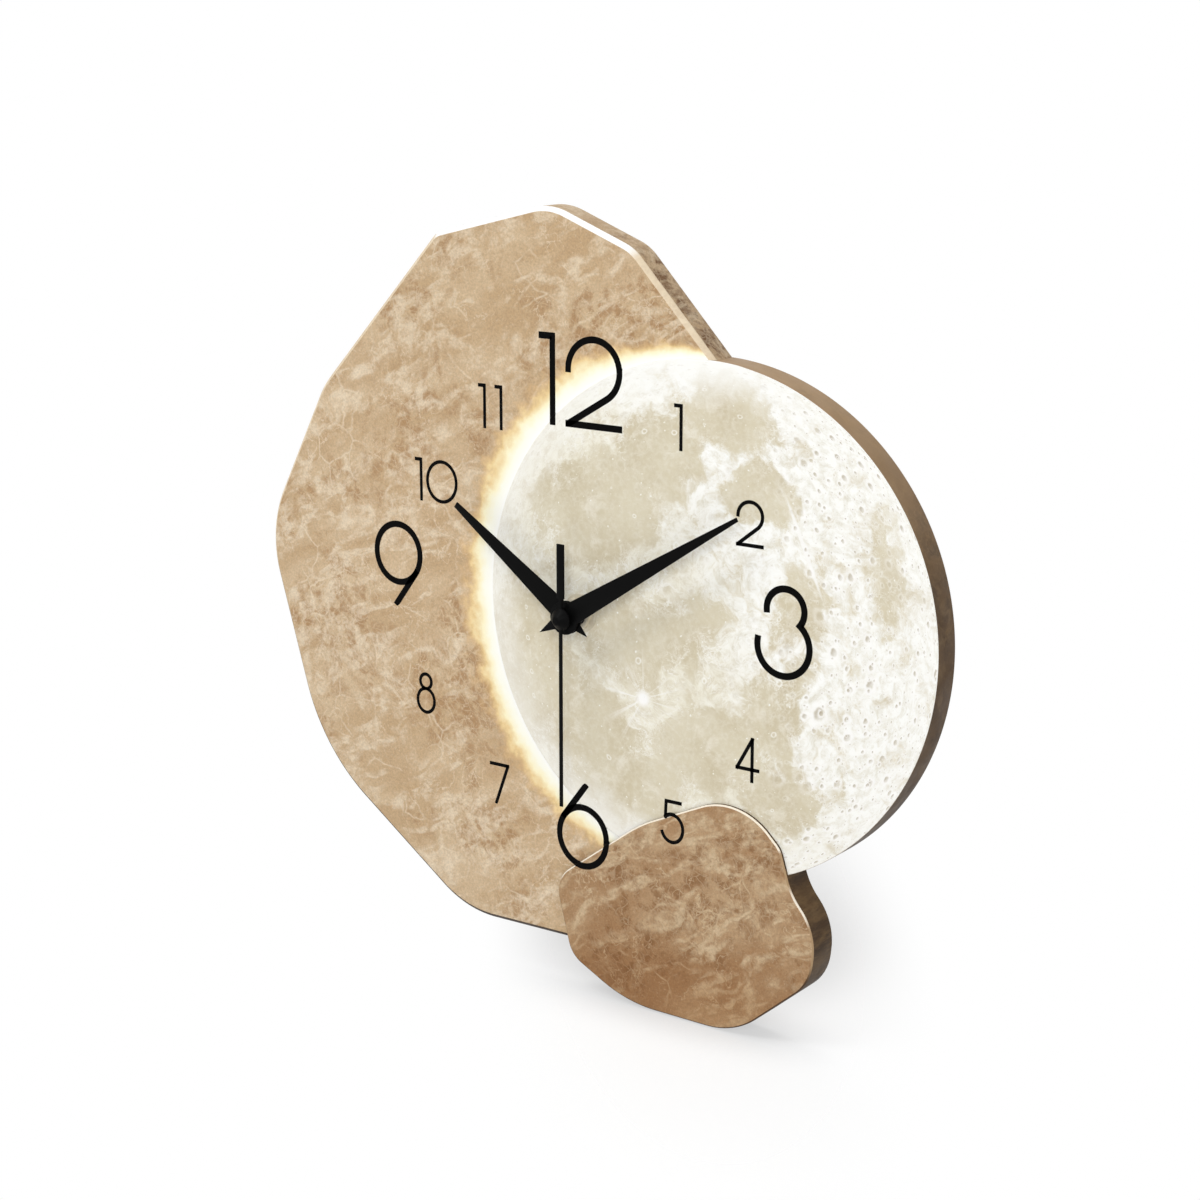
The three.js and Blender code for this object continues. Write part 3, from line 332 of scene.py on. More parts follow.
# The stone print: clouded ground, brown patches, pale slanting bands, hair veins, specks and fine grain.
BAND_SLANT = math.radians(28)
stone_print, stone_in, stone_out = node_group(
    "stone_print",
    [
        ("Place", "Vector"), ("Ground", "Color"), ("Cloud", "Color"), ("Patch", "Color"), ("Vein", "Color"),
        ("Patch Share", "Float"), ("Vein Share", "Float"),
    ],
    [("Colour", "Color")],
)
tree = stone_print
swept = warped(tree, stone_in["Place"], 36, 16)
curled = warped(tree, swept, 6.5, 3.4)
slanted = add_node(tree, "ShaderNodeMapping", {"Vector": swept, "Rotation": (0, BAND_SLANT, 0)}).outputs[0]
band_place = moved(tree, "MULTIPLY", slanted, (0.36, 1, 1))
cloud_share = fade(tree, noise(tree, band_place, 22, 6.0, 0.56), 0.40, 0.61)
stone_colour = mixed(tree, cloud_share, stone_in["Ground"], stone_in["Cloud"])
patch_cluster = fade(tree, noise(tree, swept, 38, 5.0, 0.6), 0.43, 0.61, 0.12, 1.0)
patch_grain = fade(tree, noise(tree, curled, 6, 7.0, 0.66), 0.43, 0.58)
patch_share = product(tree, product(tree, patch_cluster, patch_grain), stone_in["Patch Share"])
stone_colour = mixed(tree, patch_share, stone_colour, stone_in["Patch"])
band_line = fade(tree, ridge(tree, noise(tree, band_place, 30, 5.0, 0.6)), 0.89, 1.0)
streak_place = moved(tree, "MULTIPLY", slanted, (0.14, 1, 1))
streak_line = fade(tree, ridge(tree, noise(tree, streak_place, 11, 3.0, 0.5)), 0.90, 0.985)
streak_break = fade(tree, noise(tree, swept, 27, 3.0), 0.45, 0.58, 0.0, 0.9)
band_line = calc(tree, "MAXIMUM", band_line, product(tree, streak_line, streak_break))
band_break = fade(tree, noise(tree, curled, 7, 6.0, 0.7), 0.36, 0.62)
band_share = product(tree, product(tree, band_line, band_break), stone_in["Vein Share"])
stone_colour = mixed(tree, band_share, stone_colour, stone_in["Vein"])
hair_line = fade(tree, cell_edge(tree, curled, 13), 0.0, 0.05, 1.0, 0.0)
hair_break = fade(tree, noise(tree, swept, 15, 4.0, 0.6), 0.47, 0.66)
thread_line = fade(tree, ridge(tree, noise(tree, curled, 9, 4.0, 0.5)), 0.97, 1.0)
thread_break = fade(tree, noise(tree, swept, 24, 3.0), 0.44, 0.6)
hairs = calc(tree, "MAXIMUM", product(tree, hair_line, hair_break), product(tree, thread_line, thread_break))
net_line = fade(tree, cell_edge(tree, curled, 4.4), 0.0, 0.075, 0.7, 0.0)
hairs = calc(tree, "MAXIMUM", hairs, product(tree, net_line, patch_share))
hair_share = product(tree, product(tree, hairs, stone_in["Vein Share"]), 0.75)
stone_colour = mixed(tree, hair_share, stone_colour, stone_in["Vein"])
speck = fade(tree, noise(tree, stone_in["Place"], 1.6, 3.0, 0.62), 0.57, 0.67, 0.0, 0.5)
speck = product(tree, speck, fade(tree, patch_cluster, 0.1, 0.8, 0.3, 1.0))
stone_colour = mixed(tree, speck, stone_colour, stone_in["Patch"])
fleck = fade(tree, noise(tree, stone_in["Place"], 1.1, 3.0, 0.7), 0.58, 0.70, 0.0, 0.35)
stone_colour = mixed(tree, fleck, stone_colour, stone_in["Vein"])
grain = fade(tree, noise(tree, stone_in["Place"], 0.8, 5.0, 0.7), 0.28, 0.72, 0.86, 1.13)
stone_colour = mixed(tree, 1.0, stone_colour, grain, "MULTIPLY")
tree.links.new(stone_colour, stone_out["Colour"])


def stone(tree, where, tones, patch_share, vein_share):
    """The stone print in its own tones of ground, cloud, patch and vein."""
    ground, cloud, patch, vein = [paint(*tone) for tone in tones]
    return use_group(tree, stone_print, {
        "Place": where, "Ground": ground, "Cloud": cloud, "Patch": patch, "Vein": vein,
        "Patch Share": patch_share, "Vein Share": vein_share,
    })["Colour"]


# The edge: the face print, the bevel with painted highlight facing up and painted shade facing down, the
# side, bare board.
board_edge, edge_in, edge_out = node_group(
    "board_edge",
    [
        ("Face", "Color"), ("Side", "Color"), ("Bevel Highlight Up", "Color"), ("Bevel Across", "Color"),
        ("Bevel Shade Down", "Color"), ("Bare Board", "Color"), ("Highlight From", "Float"),
    ],
    [("Colour", "Color")],
)
tree = board_edge
facing = axes(tree, add_node(tree, "ShaderNodeNewGeometry").outputs["True Normal"])
forward = product(tree, facing[1], -1.0)
flat_share = calc(tree, "SQRT", calc(tree, "SUBTRACT", 1.0001, calc(tree, "POWER", forward, 2.0)))
upward = calc(tree, "DIVIDE", facing[2], flat_share)
# Painted highlight where the bevel faces up, painted shade where it faces down, the across tone between.
shade_to_across_bevel = mixed(tree, fade(tree, upward, -0.5, -0.05), edge_in["Bevel Shade Down"], edge_in["Bevel Across"])
highlight_share = fade(tree, calc(tree, "SUBTRACT", upward, edge_in["Highlight From"]), 0.0, 0.22)
bevel_colour = mixed(tree, highlight_share, shade_to_across_bevel, edge_in["Bevel Highlight Up"])
# Painted shade on the side print, darker the further the side faces down.
painted_side_shade = fade(tree, upward, -0.8, 0.85, 0.55, 1.0)
side_colour = mixed(tree, 1.0, edge_in["Side"], painted_side_shade, "MULTIPLY")
edge_colour = mixed(tree, fade(tree, forward, 0.2, 0.3), side_colour, bevel_colour)
edge_colour = mixed(tree, fade(tree, forward, 0.95, 0.985), edge_colour, edge_in["Face"])
edge_colour = mixed(tree, fade(tree, forward, -0.6, -0.5, 1.0, 0.0), edge_colour, edge_in["Bare Board"])
tree.links.new(edge_colour, edge_out["Colour"])

# The varnish over a print: satin, with a faint orange peel. Bare fibreboard: felted brown fibres.
varnish, varnish_in, varnish_out = node_group(
    "varnish", [("Place", "Vector")], [("Roughness", "Float"), ("Height", "Float")],
)
tree = varnish
satin = fade(tree, noise(tree, varnish_in["Place"], 9, 5.0), 0.3, 0.7, 0.44, 0.58)
tree.links.new(satin, varnish_out["Roughness"])
tree.links.new(noise(tree, varnish_in["Place"], 0.7, 3.0), varnish_out["Height"])

fibreboard, fibre_in, fibre_out = node_group(
    "fibreboard", [("Place", "Vector"), ("Fibre", "Color"), ("Shadow", "Color")],
    [("Colour", "Color"), ("Height", "Float")],
)
tree = fibreboard
fibre_run = moved(tree, "MULTIPLY", warped(tree, fibre_in["Place"], 5, 6), (0.35, 1, 1))
fibre_mat = noise(tree, fibre_run, 0.9, 6.0, 0.7)
fibre_cloud = product(tree, noise(tree, fibre_in["Place"], 22, 4.0), 0.5)
fibre_share = fade(tree, calc(tree, "ADD", fibre_mat, fibre_cloud), 0.5, 0.95)
tree.links.new(mixed(tree, fibre_share, fibre_in["Shadow"], fibre_in["Fibre"]), fibre_out["Colour"])
tree.links.new(fibre_mat, fibre_out["Height"])

BARE_FIBRE = paint(186, 150, 110)
BARE_SHADOW = paint(140, 106, 72)
PEEL_DEPTH = 0.04
PEEL_STRENGTH = 0.12
VARNISH_GLOSS = 0.16


def finish(tree, shader, colour, roughness, height, depth, strength):
    """Joins a colour, a roughness and a height in the surface to a shader; the depth is in millimetres."""
    bump = add_node(tree, "ShaderNodeBump", {"Strength": strength, "Distance": depth * MM, "Height": height})
    tree.links.new(colour, shader["Base Color"])
    tree.links.new(roughness, shader["Roughness"])
    tree.links.new(bump.outputs[0], shader["Normal"])


def print_and_shade_board(tree, shader, where, face, side, bevels, highlight_from):
    """Joins a board's prints, painted bevel light and varnish to its shader; bevels are the painted highlight
    upward, the tone across and the painted shade downward.
    """
    bevel_highlight, bevel_across, bevel_shade = bevels
    bare_board = use_group(tree, fibreboard, {"Place": where, "Fibre": BARE_FIBRE, "Shadow": BARE_SHADOW})
    board_colour = use_group(tree, board_edge, {
        "Face": face, "Side": side, "Bare Board": bare_board["Colour"], "Highlight From": highlight_from,
        "Bevel Highlight Up": bevel_highlight, "Bevel Across": bevel_across, "Bevel Shade Down": bevel_shade,
    })["Colour"]
    coat = use_group(tree, varnish, {"Place": where})
    finish(tree, shader, board_colour, coat["Roughness"], coat["Height"], PEEL_DEPTH, PEEL_STRENGTH)
    shader["Specular IOR Level"].default_value = VARNISH_GLOSS


SLAB_TONES = [(195, 167, 131), (209, 185, 152), (168, 131, 91), (229, 212, 186)]
SLAB_SIDE_TONES = [(182, 153, 118), (198, 172, 138), (120, 88, 58), (216, 196, 166)]
slab_print, tree, shader = new_material("slab_print")
where = millimetres(tree)
slab_stone = stone(tree, where, SLAB_TONES, patch_share=0.8, vein_share=0.85)
slab_side = stone(tree, where, SLAB_SIDE_TONES, patch_share=1.0, vein_share=0.7)
# Painted shade: the stone is a little deeper in tone towards the upper right, where the lamps light it more.
slab_axes = axes(tree, where)
upper_right = fade(tree, calc(tree, "ADD", slab_axes[0], slab_axes[2]), -150, -60)
painted_shade_stone = mixed(tree, 1.0, slab_stone, paint(248, 246, 243), "MULTIPLY")
slab_stone = mixed(tree, upper_right, slab_stone, painted_shade_stone)
# The glow printed round the round board: white at the rim, then pale yellow, gold and the stone again.
MOON_MIDDLE = (MOON_X + AXIS_X, 0, MOON_Z + AXIS_Z)
GLOW_REACH = 17.5
GLOW_TOP_SHARE = 0.27
GLOW_STOPS = [
    (0.0, (255, 255, 252), 1.0), (0.22, (255, 254, 238), 1.0), (0.42, (255, 246, 208), 0.97),
    (0.60, (247, 219, 160), 0.78), (0.78, (222, 184, 130), 0.42), (1.0, (205, 168, 122), 0.0),
]
from_moon = moved(tree, "MULTIPLY", moved(tree, "SUBTRACT", where, MOON_MIDDLE), (1, 0, 1))
rim_distance = calc(tree, "SUBTRACT", length_of(tree, from_moon), MOON_RADIUS)
flare = fade(tree, noise(tree, where, 10, 5.0, 0.6), 0.3, 0.7, 0.8, 1.3)
sideways = axes(tree, moved(tree, "NORMALIZE", from_moon))[0]
glow_reach = fade(tree, sideways, -0.85, 0.15, GLOW_REACH, GLOW_REACH * GLOW_TOP_SHARE)
glow_share = calc(tree, "DIVIDE", product(tree, rim_distance, flare), glow_reach)
glow = add_node(tree, "ShaderNodeValToRGB", {"Fac": glow_share})
while len(glow.color_ramp.elements) < len(GLOW_STOPS):
    glow.color_ramp.elements.new(0.5)
for element, (place, tone, cover) in zip(glow.color_ramp.elements, GLOW_STOPS):
    element.position = place
    element.color = (*paint(*tone)[:3], cover)
slab_face = mixed(tree, glow.outputs["Alpha"], slab_stone, glow.outputs["Color"])
# The bevel's tones: painted highlight facing up, cream across, painted shade facing down.
cream_bevel = mixed(tree, 0.62, slab_stone, paint(246, 230, 202))
slab_bevel_light_and_shade = (paint(255, 255, 253), cream_bevel, paint(54, 39, 25))
print_and_shade_board(tree, shader, where, slab_face, slab_side, slab_bevel_light_and_shade, highlight_from=0.7)
slab.data.materials.append(slab_print)
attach(slab, "clock_body")
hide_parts("slab_board")

# Moon board: the round board in the middle, 12 mm fibreboard printed with a full moon, its edge square.
# It is let into the slab, stands a little proud of it, and has the movement's pocket and stem hole behind.
MOON_FRONT = -21.2
MOON_ARRIS = 0.25
POCKET_CORNERS = [(-29, -33, 5), (29, -33, 5), (29, 25, 5), (-29, 25, 5)]
POCKET_FLOOR = -16.8
STEM_HOLE_RADIUS = 4.4
STEM_HOLE_POINTS = 48
moon_edge = [
    (MOON_ARRIS, BOARD_BACK), (0, BOARD_BACK - MOON_ARRIS), (0, MOON_FRONT), (FACE_MARGIN, MOON_FRONT),
]
moon_disc = round_outline(MOON_X, MOON_Z, MOON_RADIUS, MOON_POINTS)
moon = lofted("moon", moon_disc, eased(moon_edge, MOON_ARRIS))
cut_out(
    moon,
    cutter("pebble_gap", pebble_gap),
    cutter("pocket", rounded_outline(POCKET_CORNERS), POCKET_FLOOR),
    cutter("stem_hole", round_outline(0, 0, STEM_HOLE_RADIUS, STEM_HOLE_POINTS)),
)
shade(moon)


def likeness(tree, first, second):
    """How far two directions point the same way."""
    inputs = {0: first, 1: second}
    return add_node(tree, "ShaderNodeVectorMath", inputs, operation="DOT_PRODUCT").outputs["Value"]


# Craters: a bright rim, a floor shaded on one side, scattered in cells of which only a share holds one.
SHADED_SIDE = (-0.8, 0.6, 0)
craters, crater_in, crater_out = node_group(
    "craters", [("Place", "Vector"), ("Cell", "Float"), ("Radius", "Float"), ("Share", "Float")],
    [("Rim", "Float"), ("Hollow", "Float")],
)
tree = craters
cell_scale = calc(tree, "DIVIDE", 1.0, crater_in["Cell"])
crater_cells = add_node(
    tree, "ShaderNodeTexVoronoi", {"Vector": crater_in["Place"], "Scale": cell_scale, "Randomness": 0.9},
    voronoi_dimensions="2D",
).outputs
cell_chance = add_node(tree, "ShaderNodeSeparateColor", {0: crater_cells["Color"]}).outputs
holds_crater = calc(tree, "LESS_THAN", cell_chance[0], crater_in["Share"])
own_radius = product(tree, crater_in["Radius"], fade(tree, cell_chance[1], 0.0, 1.0, 0.55, 1.3))
from_middle = moved(tree, "SUBTRACT", crater_in["Place"], crater_cells["Position"])
reach_share = calc(tree, "DIVIDE", length_of(tree, from_middle), own_radius)
rim_line = product(tree, fade(tree, reach_share, 0.55, 0.95), fade(tree, reach_share, 1.0, 1.75, 1.0, 0.0))
shaded_share = calc(tree, "DIVIDE", likeness(tree, from_middle, SHADED_SIDE), own_radius)
crater_floor = fade(tree, reach_share, 0.45, 0.9, 1.0, 0.0)
hollow = product(tree, crater_floor, fade(tree, shaded_share, -0.5, 0.6, 0.35, 1.0))
tree.links.new(product(tree, rim_line, holds_crater), crater_out["Rim"])
tree.links.new(product(tree, hollow, holds_crater), crater_out["Hollow"])


def drifted(tree, where, reach):
    """Places on a plane, pushed about by coarse noise over a reach and by fine noise."""
    return moved(tree, "MULTIPLY", warped(tree, warped(tree, where, 26, reach), 6, 5), (1, 1, 0))


def in_oval(tree, where, middle, half, turn):
    """Places measured from an oval's middle along its turned axes, as shares of its half sizes."""
    inputs = {"Vector": where, "Location": (*middle, 0), "Rotation": (0, 0, turn), "Scale": (*half, 1)}
    return add_node(tree, "ShaderNodeMapping", inputs, vector_type="TEXTURE").outputs[0]


def soft_oval(tree, *oval):
    """A soft patch, 1 in the middle of an oval and 0 at its rim."""
    inputs = {0: in_oval(tree, *oval)}
    return add_node(tree, "ShaderNodeTexGradient", inputs, gradient_type="SPHERICAL").outputs[1]


# The dark plains: place, half sizes, turn and depth of each soft patch, in mm from the moon's middle.
PLAINS = [
    (-46, 37, 36, 26, 20, 1.0), (-19, 60, 24, 20, 40, 1.0), (9, 79, 28, 15, -10, 0.9),
    (25, 52, 20, 14, 10, 1.0), (-76, -24, 22, 40, 8, 1.2), (-50, -50, 29, 25, -30, 1.1),
    (-33, -10, 27, 22, 0, 0.75), (-6, -2, 22, 17, 20, 0.6), (30, -31, 17, 23, -15, 0.75),
    (3, -47, 30, 19, 10, 1.1), (-34, -71, 31, 19, 10, 1.1), (34, -60, 22, 17, 0, 0.9),
    (42, 8, 15, 27, -10, 0.45), (77, 27, 13, 27, 15, 0.4),
]
moon_print, tree, shader = new_material("moon_print")
where = millimetres(tree)
moon_axes = axes(tree, moved(tree, "SUBTRACT", where, MOON_MIDDLE))
on_moon = add_node(tree, "ShaderNodeCombineXYZ", {0: moon_axes[0], 1: moon_axes[2]}).outputs[0]
moon_drift = drifted(tree, on_moon, 20)
# The moon is a ball, so that what lies near its rim is seen from the side and looks narrow.
moon_reach = length_of(tree, on_moon)
ball_share = calc(tree, "DIVIDE", moon_reach, MOON_RADIUS + 1)
ball_spread = calc(tree, "DIVIDE", calc(tree, "ARCSINE", ball_share), calc(tree, "MAXIMUM", ball_share, 0.01))
on_ball = moved(tree, "MULTIPLY", on_moon, ball_spread)
ball_drift = drifted(tree, on_ball, 16)
plains = 0.0
for x, z, width, height, turn, deep in PLAINS:
    patch = soft_oval(tree, moon_drift, (x, z), (width, height), math.radians(turn))
    plains = calc(tree, "MAXIMUM", product(tree, patch, deep), plains)
ragged = noise(tree, moon_drift, 13, 10.0, 0.66)
plains = calc(tree, "ADD", plains, product(tree, calc(tree, "SUBTRACT", ragged, 0.5), -1.25))
plain_share = fade(tree, plains, 0.0, 0.22)
plain_tone = fade(tree, noise(tree, on_moon, 28, 6.0, 0.6), 0.36, 0.66)
plain_colour = mixed(tree, plain_tone, paint(217, 208, 183), paint(204, 192, 163))
plain_dust = fade(tree, noise(tree, on_moon, 2.2, 7.0, 0.72), 0.42, 0.70, 0.0, 0.5)
plain_colour = mixed(tree, plain_dust, plain_colour, paint(229, 224, 209))
plain_veil = fade(tree, noise(tree, ball_drift, 12, 9.0, 0.68), 0.50, 0.68, 0.0, 0.6)
plain_colour = mixed(tree, plain_veil, plain_colour, paint(238, 233, 219))
# The bright uplands, softer in tone towards the lower left.
upland_tone = fade(tree, noise(tree, ball_drift, 6, 10.0, 0.74), 0.42, 0.66)
bright_upland = mixed(tree, upland_tone, paint(252, 252, 248), paint(225, 221, 207))
soft_upland = mixed(tree, upland_tone, paint(238, 234, 218), paint(218, 210, 187))
upper_right = calc(tree, "ADD", moon_axes[0], product(tree, moon_axes[2], 0.5))
upper_right = calc(tree, "ADD", upper_right, product(tree, ragged, 70))
upland_colour = mixed(tree, fade(tree, upper_right, 15, 75), soft_upland, bright_upland)
moon_colour = mixed(tree, plain_share, upland_colour, plain_colour)
off_plain = fade(tree, plains, 0.12, 0.5, 1.0, 0.12)
for size, thinness, cover in ((11, 0.955, 0.75), (5, 0.945, 0.6)):
    wisps = fade(tree, ridge(tree, noise(tree, ball_drift, size, 8.0, 0.66)), thinness, 1.0)
    wisp_break = fade(tree, noise(tree, on_moon, 2 * size, 4.0), 0.42, 0.60, 0.0, cover)
    wisps = product(tree, wisps, product(tree, wisp_break, off_plain))
    moon_colour = mixed(tree, wisps, moon_colour, paint(250, 249, 243))
# The young crater with bright rays, the long bright streak, and the pale rim all round.
RAY_MIDDLE = (-26, -33, 0)
BRIGHT_DUST = paint(252, 251, 248)
STREAK = ((43, 34), (23, 1.1), math.radians(-66))
from_ray = moved(tree, "SUBTRACT", on_moon, RAY_MIDDLE)
ray_axes = axes(tree, from_ray)
ray_angle = calc(tree, "ARCTAN2", ray_axes[1], ray_axes[0])
ray_reach = length_of(tree, from_ray)
ray_turn = add_node(
    tree, "ShaderNodeCombineXYZ", {0: calc(tree, "COSINE", ray_angle), 1: calc(tree, "SINE", ray_angle)},
).outputs[0]
ray_lines = fade(tree, noise(tree, ray_turn, 0.16, 3.0, 0.6), 0.5, 0.68)
ray_share = product(tree, ray_lines, fade(tree, ray_reach, 3, 24, 0.8, 0.0))
ray_share = calc(tree, "MAXIMUM", ray_share, fade(tree, ray_reach, 1.2, 4.5, 1.0, 0.0))
moon_colour = mixed(tree, ray_share, moon_colour, BRIGHT_DUST)
streak_share = fade(tree, soft_oval(tree, on_moon, *STREAK), 0.0, 0.5, 0.0, 0.85)
moon_colour = mixed(tree, streak_share, moon_colour, paint(250, 249, 245))
rim_share = fade(tree, calc(tree, "ADD", moon_reach, product(tree, ragged, 20)), 89, 107, 0.0, 0.9)
rim_share = product(tree, rim_share, fade(tree, moon_axes[0], -85, -10, 0.5, 1.0))
rim_share = product(tree, rim_share, fade(tree, moon_axes[0], 5, 60, 1.0, 0.35))
moon_colour = mixed(tree, rim_share, moon_colour, paint(251, 251, 247))
# Craters of four sizes as cell, radius, share and strength, crowded at the right and rare on the plains.
CRATER_SIZES = [(25, 2.9, 0.6, 0.72), (11, 1.9, 0.5, 0.75), (6.5, 1.05, 0.5, 0.75), (3.4, 0.55, 0.4, 0.55)]
pit_place = moved(tree, "MULTIPLY", warped(tree, on_ball, 3, 1.6), (1, 1, 0))
right_share = fade(tree, moon_axes[0], 12, 58)
crowding = product(
    tree, fade(tree, right_share, 0.0, 1.0, 0.22, 1.0), fade(tree, plain_share, 0.0, 1.0, 1.0, 0.35),
)
for cell, radius, share, strength in CRATER_SIZES:
    pits = use_group(tree, craters, {"Place": pit_place, "Cell": cell, "Radius": radius, "Share": share})
    cover = product(tree, crowding, strength)
    moon_colour = mixed(tree, product(tree, pits["Rim"], cover), moon_colour, BRIGHT_DUST)
    moon_colour = mixed(tree, product(tree, pits["Hollow"], cover), moon_colour, paint(172, 158, 134))
spots = use_group(tree, craters, {"Place": pit_place, "Cell": 5, "Radius": 0.5, "Share": 0.3})["Hollow"]
rings = use_group(tree, craters, {"Place": pit_place, "Cell": 16, "Radius": 0.8, "Share": 0.3})["Rim"]
young = calc(tree, "MAXIMUM", product(tree, spots, plain_share), product(tree, rings, 0.6))
moon_colour = mixed(tree, young, moon_colour, paint(252, 251, 246))
MOON_SIDE_TONES = [(96, 71, 44), (112, 86, 57), (58, 40, 22), (132, 106, 73)]
moon_side = stone(tree, where, MOON_SIDE_TONES, patch_share=1.0, vein_share=0.6)
# Painted highlight: the side is painted lighter towards the top of the disc, where it faces up.
moon_side = mixed(tree, fade(tree, moon_axes[2], 0, 90, 0.0, 0.5), moon_side, paint(204, 172, 134))
# The strip of its side that stands above the slab is painted white, painted light over its shade at the step,
# so that no line shows in the glow.
above_slab = fade(tree, moon_axes[1], SLAB_FRONT + 0.1, SLAB_FRONT + 0.3, 1.0, 0.0)
beside_slab = product(tree, above_slab, fade(tree, moon_axes[0], 12, 20, 1.0, 0.0))
moon_side = mixed(tree, beside_slab, moon_side, paint(255, 254, 248))
# The bevel's tones: painted highlight facing up, near white across, painted shade facing down.
moon_bevel_light_and_shade = (paint(254, 253, 248), paint(250, 248, 240), paint(190, 178, 160))
print_and_shade_board(tree, shader, where, moon_colour, moon_side, moon_bevel_light_and_shade, highlight_from=0.5)
moon.data.materials.append(moon_print)
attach(moon, "clock_body")
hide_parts("moon_board")

# Pebble board: the small darker stone-look board at the bottom right, fibreboard with a narrow bevel.
# It stands proud of the other two, which are cut away behind it.
PEBBLE_FRONT = -22.6
PEBBLE_BEVEL = 0.5
PEBBLE_TONES = [(166, 131, 95), (184, 154, 119), (136, 98, 63), (206, 183, 150)]
PEBBLE_SIDE_TONES = [(74, 52, 28), (94, 70, 42), (36, 24, 11), (122, 96, 63)]
pebble = lofted("pebble", pebble_outline, board_profile(PEBBLE_FRONT, PEBBLE_BEVEL))
shade(pebble)
pebble_print, tree, shader = new_material("pebble_print")
where = millimetres(tree)
pebble_place = moved(tree, "ADD", where, (310, 0, 170))
pebble_stone = stone(tree, pebble_place, PEBBLE_TONES, patch_share=0.8, vein_share=0.95)
pebble_height = calc(tree, "ADD", axes(tree, where)[2], product(tree, noise(tree, where, 30, 3.0), 40))
low_stone = mixed(tree, 0.55, pebble_stone, paint(214, 186, 152), "MULTIPLY")
pebble_stone = mixed(tree, fade(tree, pebble_height, -226, -194, 1.0, 0.0), pebble_stone, low_stone)
side_place = moved(tree, "MULTIPLY", where, (1, 0.4, 1.6))
pebble_side = stone(tree, side_place, PEBBLE_SIDE_TONES, patch_share=1.0, vein_share=0.7)
# The bevel's tones: painted highlight facing up, brown across, painted shade facing down.
pebble_bevel_light_and_shade = (paint(248, 238, 220), paint(176, 147, 112), paint(84, 62, 42))
print_and_shade_board(tree, shader, where, pebble_stone, pebble_side, pebble_bevel_light_and_shade, highlight_from=0.35)
pebble.data.materials.append(pebble_print)
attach(pebble, "clock_body")
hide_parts("pebble_board")

# Numerals: 1 to 12 screened on the three boards in thin strokes of black ink, four of them twice the size.
# The ink lies on whichever board is in front, stepped so that strokes run on from the photograph's side.
INK_PROUD = 0.05
INK_SUNK = 0.02
INK_JOIN = 0.002 * MM
BIG_HEIGHT = 35
BIG_STROKE = 2.6
BIG_WIDTHS = {"1": 7.7, "2": 26, "3": 24.5, "6": 25, "9": 25}
SMALL_HEIGHT = 17.3
SMALL_STROKE = 1.4
SMALL_WIDTHS = {"0": 15.9, "1": 3.8, "2": 11.8, "4": 10.4, "5": 11.1, "7": 9.8, "8": 10}
DIGIT_GAPS = {"12": 4.7, "10": 1.8, "11": 4.2}
STROKE_STEP = 0.28
FEWEST_ARC_STEPS = 8
FEWEST_RUN_STEPS = 2
STROKE_LANES = 9
MITRE_LIMIT = 0.35
CLOSED_GAP = 0.01
EDGE_LEAD = 0.4
PEBBLE_LEFT = -20
PEBBLE_TOP = -50
COARSE_STEP = 2.0
AZIMUTH = math.radians(35.65)
ELEVATION = math.radians(13.84)
SIGHT_RIGHT = math.tan(AZIMUTH)
SIGHT_UP = math.tan(ELEVATION) / math.cos(AZIMUTH)


def arc(x, z, radius_x, radius_z, start, end):
    """Points along a part of an oval, from one angle to another in degrees."""
    length = math.radians(abs(end - start)) * max(radius_x, radius_z)
    steps = max(FEWEST_ARC_STEPS, math.ceil(length / STROKE_STEP))
    angles = [math.radians(start + (end - start) * step / steps) for step in range(steps + 1)]
    return [Vector((x + radius_x * math.cos(angle), z + radius_z * math.sin(angle))) for angle in angles]


def straight(*corners):
    """Points along straight runs."""
    points = [Vector(corners[0])]
    for corner in corners[1:]:
        start = points[-1]
        end = Vector(corner)
        steps = max(FEWEST_RUN_STEPS, math.ceil((end - start).length / STROKE_STEP))
        points += [start.lerp(end, step / steps) for step in range(1, steps + 1)]
    return points


def touching_angle(x, z, radius_x, radius_z, from_x, from_z):
    """The angle on an oval, in degrees, where a line from a place outside touches its right side."""
    away_x = (from_x - x) / radius_x
    away_z = (from_z - z) / radius_z
    return math.degrees(math.atan2(away_z, away_x) + math.acos(1 / math.hypot(away_x, away_z)))


